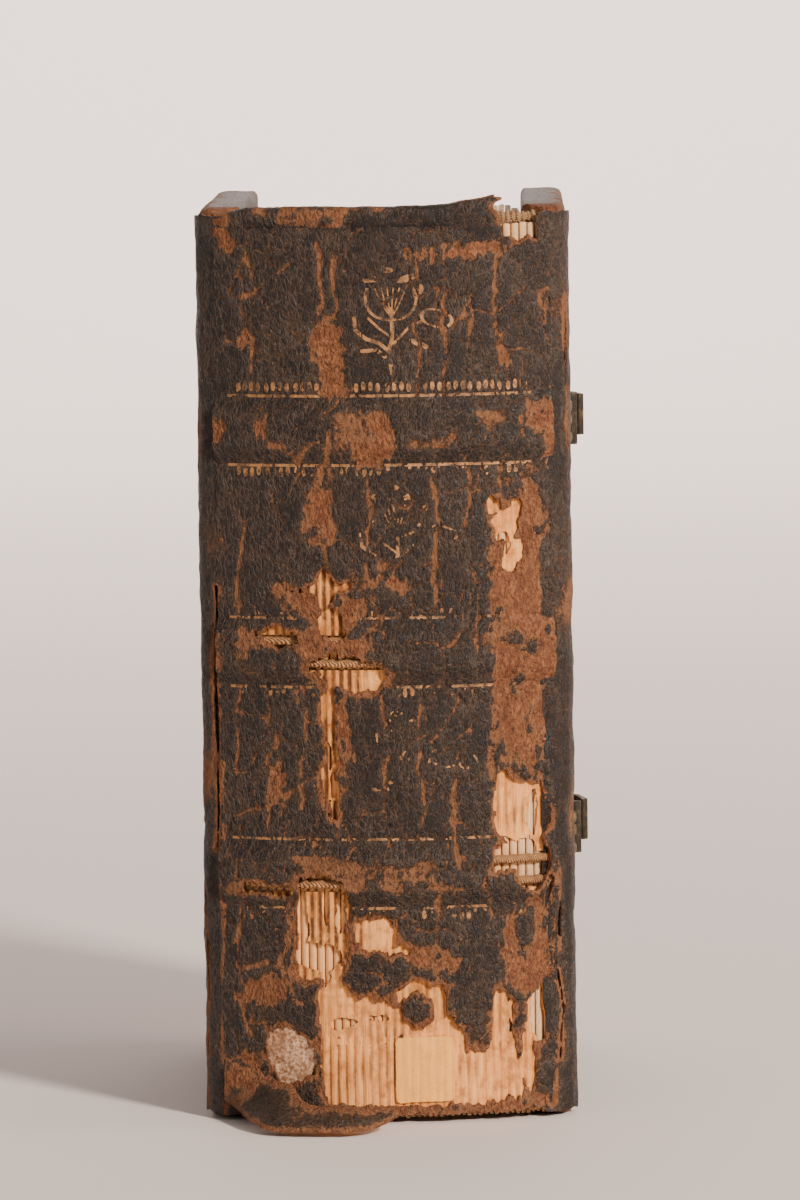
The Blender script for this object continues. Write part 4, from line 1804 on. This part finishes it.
@dataclass
class Clasps:
    """The two straps with their brass."""

    finish: Finishes
    width: float = 11.0
    thick: float = 2.2
    length: float = 52.65
    rest: float = 12.0

    def softened(self, node: str, width: float) -> Obj:
        """Copy of a carried-over node with its edges bevelled."""
        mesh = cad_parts[node].data.copy()
        bm = bmesh.new()
        bm.from_mesh(mesh)
        bmesh.ops.remove_doubles(bm, verts=bm.verts, dist=2e-6)
        bmesh.ops.dissolve_limit(bm, angle_limit=math.radians(2), verts=bm.verts, edges=bm.edges)
        bm.to_mesh(mesh)
        bm.free()
        obj = bpy.data.objects.new(f"{node}_brass", mesh)
        bpy.context.scene.collection.objects.link(obj)
        bevel = obj.modifiers.new("bevel", "BEVEL")
        bevel.width, bevel.segments, bevel.limit_method = width * MM, 2, "ANGLE"
        bevel.angle_limit = math.radians(35)
        graph = bpy.context.evaluated_depsgraph_get()
        result = bpy.data.meshes.new_from_object(obj.evaluated_get(graph))
        obj.modifiers.clear()
        obj.data = result
        obj.data.shade_smooth()
        obj.data.set_sharp_from_angle(angle=math.radians(35))
        return obj

    def strap(self, where: str) -> None:
        """Builds one strap from its nailed root to its hook."""
        root, loose = f"{where}_strap_root", f"{where}_strap"
        lo, hi = low(root), high(root)
        z0 = (lo[2] + hi[2]) / 2
        x, back = (lo[0] + hi[0]) / 2, lo[1]
        flex = np.array([x, high(root)[1] + 0.3 + self.thick / 2])
        along = np.array([math.cos(math.radians(self.rest)), math.sin(math.radians(self.rest))])
        bend = [flex - (0, 2.4), flex - (0, 0.9), flex + (0.35, 0.30), flex + along * 1.6, flex + along * 3.0]
        plan = [
            (x, back), (x, back + 6), *[tuple(p) for p in bend], tuple(flex + along * 26),
            tuple(flex + along * self.length)
        ]
        total = (flex[1] - back) + self.length - 0.6
        around, count = 28, 150
        u, a = np.meshgrid(
            np.linspace(0, total, count), np.arange(around) / around * 2 * np.pi, indexing="ij"
        )
        place = sheet_path(plan, u)
        sharp = 0.32
        across = np.sign(np.cos(a)) * np.abs(np.cos(a)) ** sharp * self.width / 2
        out = np.sign(np.sin(a)) * np.abs(np.sin(a)) ** sharp * self.thick / 2 * 0.94
        out = out * (1 - 0.10 * np.exp(-((np.abs(across) - self.width / 2 + 1.3) / 0.35) ** 2))
        across = across + 0.12 * waves(u, a, 6, 161, 3)
        out = out + 0.04 * waves(u, across, 2.5, 162, 3)
        points = np.stack(
            [place[..., 0] + place[..., 2] * out, place[..., 1] + place[..., 3] * out, z0 + across], axis=-1
        )
        points = points.reshape(-1, 3)
        index = np.arange(count * around).reshape(count, around)
        nxt = np.roll(index, -1, axis=1)
        quads = np.stack([index[:-1], nxt[:-1], nxt[1:], index[1:]], axis=-1).reshape(-1, 4).tolist()
        caps = [index[0].tolist()[::-1], index[-1].tolist()]
        obj = outward(new_object(f"{where}_leather_strap", points * MM, quads + caps, 50))
        edge = (np.abs(across) - self.width / 2 + 1.2).ravel()
        bare = np.clip(edge / 0.9 + 1.2 * waves(u, a, 5, 163, 3).ravel() - 0.4, -3, 2)
        if len(obj.data.vertices) == len(bare):
            put_values(obj, "bare", bare)
        finish_with(obj, self.finish.strap)
        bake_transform(obj)
        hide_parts(root, loose)
        LOG.info("%s bends at its flex line", obj.name)

    def heads(self, node: str, facing: Array) -> tuple[Array, Array]:
        """Middle points of the outer ends of the solids in a node, and their facing."""
        bm = bmesh.new()
        bm.from_mesh(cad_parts[node].data)
        bmesh.ops.remove_doubles(bm, verts=bm.verts, dist=2e-6)
        seen, tops = set(), []
        for vert in bm.verts:
            if vert.index in seen:
                continue
            stack, part = [vert], []
            seen.add(vert.index)
            while stack:
                v = stack.pop()
                part.append(tuple(v.co))
                for edge in v.link_edges:
                    other = edge.other_vert(v)
                    if other.index not in seen:
                        seen.add(other.index)
                        stack.append(other)
            points = np.array(part)
            height = points @ facing
            tops.append(points[height > height.max() - 1e-5].mean(axis=0))
        bm.free()
        return np.array(tops) / MM, np.tile(facing, (len(tops), 1))

    def studs(self) -> None:
        """Domes the heads of all the nails and rivets."""
        tree = Repeats.stud_tree()
        turn = math.radians(self.rest)
        hook_out = np.array([-math.sin(turn), math.cos(turn), 0.0])
        for node, body, facing in (
            ("catch_nails", "front_cover", np.array([1.0, 0, 0])),
            ("anchor_nails", "back_cover", np.array([-1.0, 0, 0])),
            ("upper_hook_rivets", "upper_clasp", hook_out), ("lower_hook_rivets", "lower_clasp", hook_out),
        ):
            points, normals = self.heads(node, facing)
            host = new_object(node + "_places", (points - normals * 0.22) * MM, [])
            layer = host.data.attributes.new("facing", "FLOAT_VECTOR", "POINT")
            layer.data.foreach_set("vector", normals.ravel().astype(np.float32))
            obj = Repeats.run(
                host, tree, {"Radius": 1.25 * MM, "Height": 0.62 * MM, "Finish": self.finish.nail},
                f"{node}_domes"
            )
            dress(node, self.finish.nail)
            settle(obj, body, "nail_brass")

    def build(self) -> None:
        """Builds both clasps."""
        for where in ("upper", "lower"):
            self.strap(where)
            for node, body in (
                (f"{where}_catch_plate", "front_cover"), (f"{where}_anchor_plate", "back_cover"),
                (f"{where}_hook_plate", f"{where}_clasp"),
            ):
                obj = finish_with(self.softened(node, 0.18), self.finish.brass)
                settle(obj, body, "clasp_brass", node)
        self.studs()


# ---- studio

@dataclass
class Studio:
    """Pale table and backdrop, soft light from the right, and the camera."""

    lens: float = 232.4
    sensor: float = 36.0
    place: tuple[float, float, float] = (0.023, -1.460, 0.215)
    tilt: float = -4.86
    pan: float = 0.83
    roll: float = -0.7

    def table(self) -> None:
        """Builds the floor that curves up into the backdrop."""
        rows = [(-3.0, 0.0), (2.2, 0.0)]
        rows += [
            (2.2 + 1.2 * math.sin(a), 1.2 - 1.2 * math.cos(a)) for a in np.linspace(0.1, math.pi / 2, 14)
        ]
        rows += [(3.4, 5.0)]
        points = [(x, y, z) for y, z in rows for x in (-3.5, 3.5)]
        faces = [[2 * k, 2 * k + 1, 2 * k + 3, 2 * k + 2] for k in range(len(rows) - 1)]
        obj = new_object("studio_table", np.array(points), faces, 60)
        finish_with(obj, StudioPaper("pale_table").make())

    def lamp(
        self, name: str, place: Colour, target: Colour, size: float, power: float, colour: Colour
    ) -> None:
        """Adds a soft square lamp that faces a target."""
        light = bpy.data.lights.new(name, "AREA")
        light.shape, light.size, light.energy, light.color = "SQUARE", size, power, colour
        obj = bpy.data.objects.new(name, light)
        bpy.context.scene.collection.objects.link(obj)
        aim = Vector(target) - Vector(place)
        obj.matrix_world = Matrix.Translation(place) @ aim.to_track_quat("-Z", "Y").to_matrix().to_4x4()

    def lights(self) -> None:
        """Adds the lamps and the even light of the room."""
        self.lamp("key", (1.18, -1.66, 1.05), (0, 0.1, 0.05), 0.30, 80.0, (1.0, 0.90, 0.81))
        self.lamp("side", (1.5, 0.0, 0.5), (0, 0, 0.08), 0.5, 8.0, (1.0, 0.92, 0.84))
        self.lamp("fill", (-1.3, -1.6, 0.9), (0, 0, 0.09), 1.2, 2.5, (0.96, 0.97, 1.0))
        self.lamp("backdrop", (0.0, 1.8, 2.4), (0, 3.4, 1.1), 1.6, 165.0, (1.0, 0.94, 0.92))
        world = bpy.data.worlds.new("room")
        world.use_nodes = True
        world.node_tree.nodes["Background"].inputs["Color"].default_value = (1.0, 0.955, 0.93, 1.0)
        world.node_tree.nodes["Background"].inputs["Strength"].default_value = 0.31
        bpy.context.scene.world = world

    def camera(self) -> None:
        """Adds the camera at the height of the book's head."""
        data = bpy.data.cameras.new("camera")
        data.sensor_fit, data.sensor_height, data.lens = "VERTICAL", self.sensor, self.lens
        data.clip_end = 60.0
        obj = bpy.data.objects.new("camera", data)
        bpy.context.scene.collection.objects.link(obj)
        turn = Matrix.Rotation(math.radians(self.pan), 4, "Z") @ Matrix.Rotation(
            math.radians(90 + self.tilt), 4, "X"
        )
        obj.matrix_world = Matrix.Translation(self.place) @ turn @ Matrix.Rotation(
            math.radians(self.roll), 4, "Z"
        )
        bpy.context.scene.camera = obj


def main() -> None:
    """Builds the book and its studio, in order."""
    logging.basicConfig(level=logging.INFO, format="%(name)s: %(message)s")
    studio = Studio()
    studio.camera()
    shape = SpineRound()
    damage = SpineDamage(shape)
    finish = Finishes()
    block = TextBlock(shape, damage, finish)
    block.leaves()
    block.linings()
    block.scraps()
    block.endpapers()
    sewing = Sewing(shape, finish)
    sewing.cords()
    sewing.endbands()
    cover = SpineCover(shape, damage, finish)
    cover.leather()
    cover.cap()
    cover.flap()
    cover.gilding()
    slit = (
        Crack(0.35, ((3.0, 98.0), (3.2, 88.0), (3.4, 76.0), (3.1, 62.0), (3.5, 50.5))),
        Crack(0.55, ((3.4, 90.0), (3.6, 80.0), (3.3, 68.0))),
        Crack(0.3, ((7.0, 43.0), (6.6, 30.0), (7.1, 12.0))),
    )
    tears = (
        Crack(0.12, ((3.2, 45.0), (3.6, 38.0), (3.2, 31.0))),
        Crack(0.16, ((2.8, 27.0), (4.0, 20.0), (3.2, 11.0))),
        Crack(0.5, ((0.8, 14.0), (1.2, 8.0), (1.0, 3.0))),
        Crack(0.25, ((6.6, 150.0), (6.2, 138.0), (6.7, 122.0))),
    )
    for side, cuts in ((1, tears), (-1, slit)):
        board = Cover(shape, finish, side, cuts=cuts)
        board.leather()
        board.joint()
        board.inner_pieces()
    Clasps(finish).build()
    studio.table()
    studio.lights()


if __name__ == "__main__":
    main()
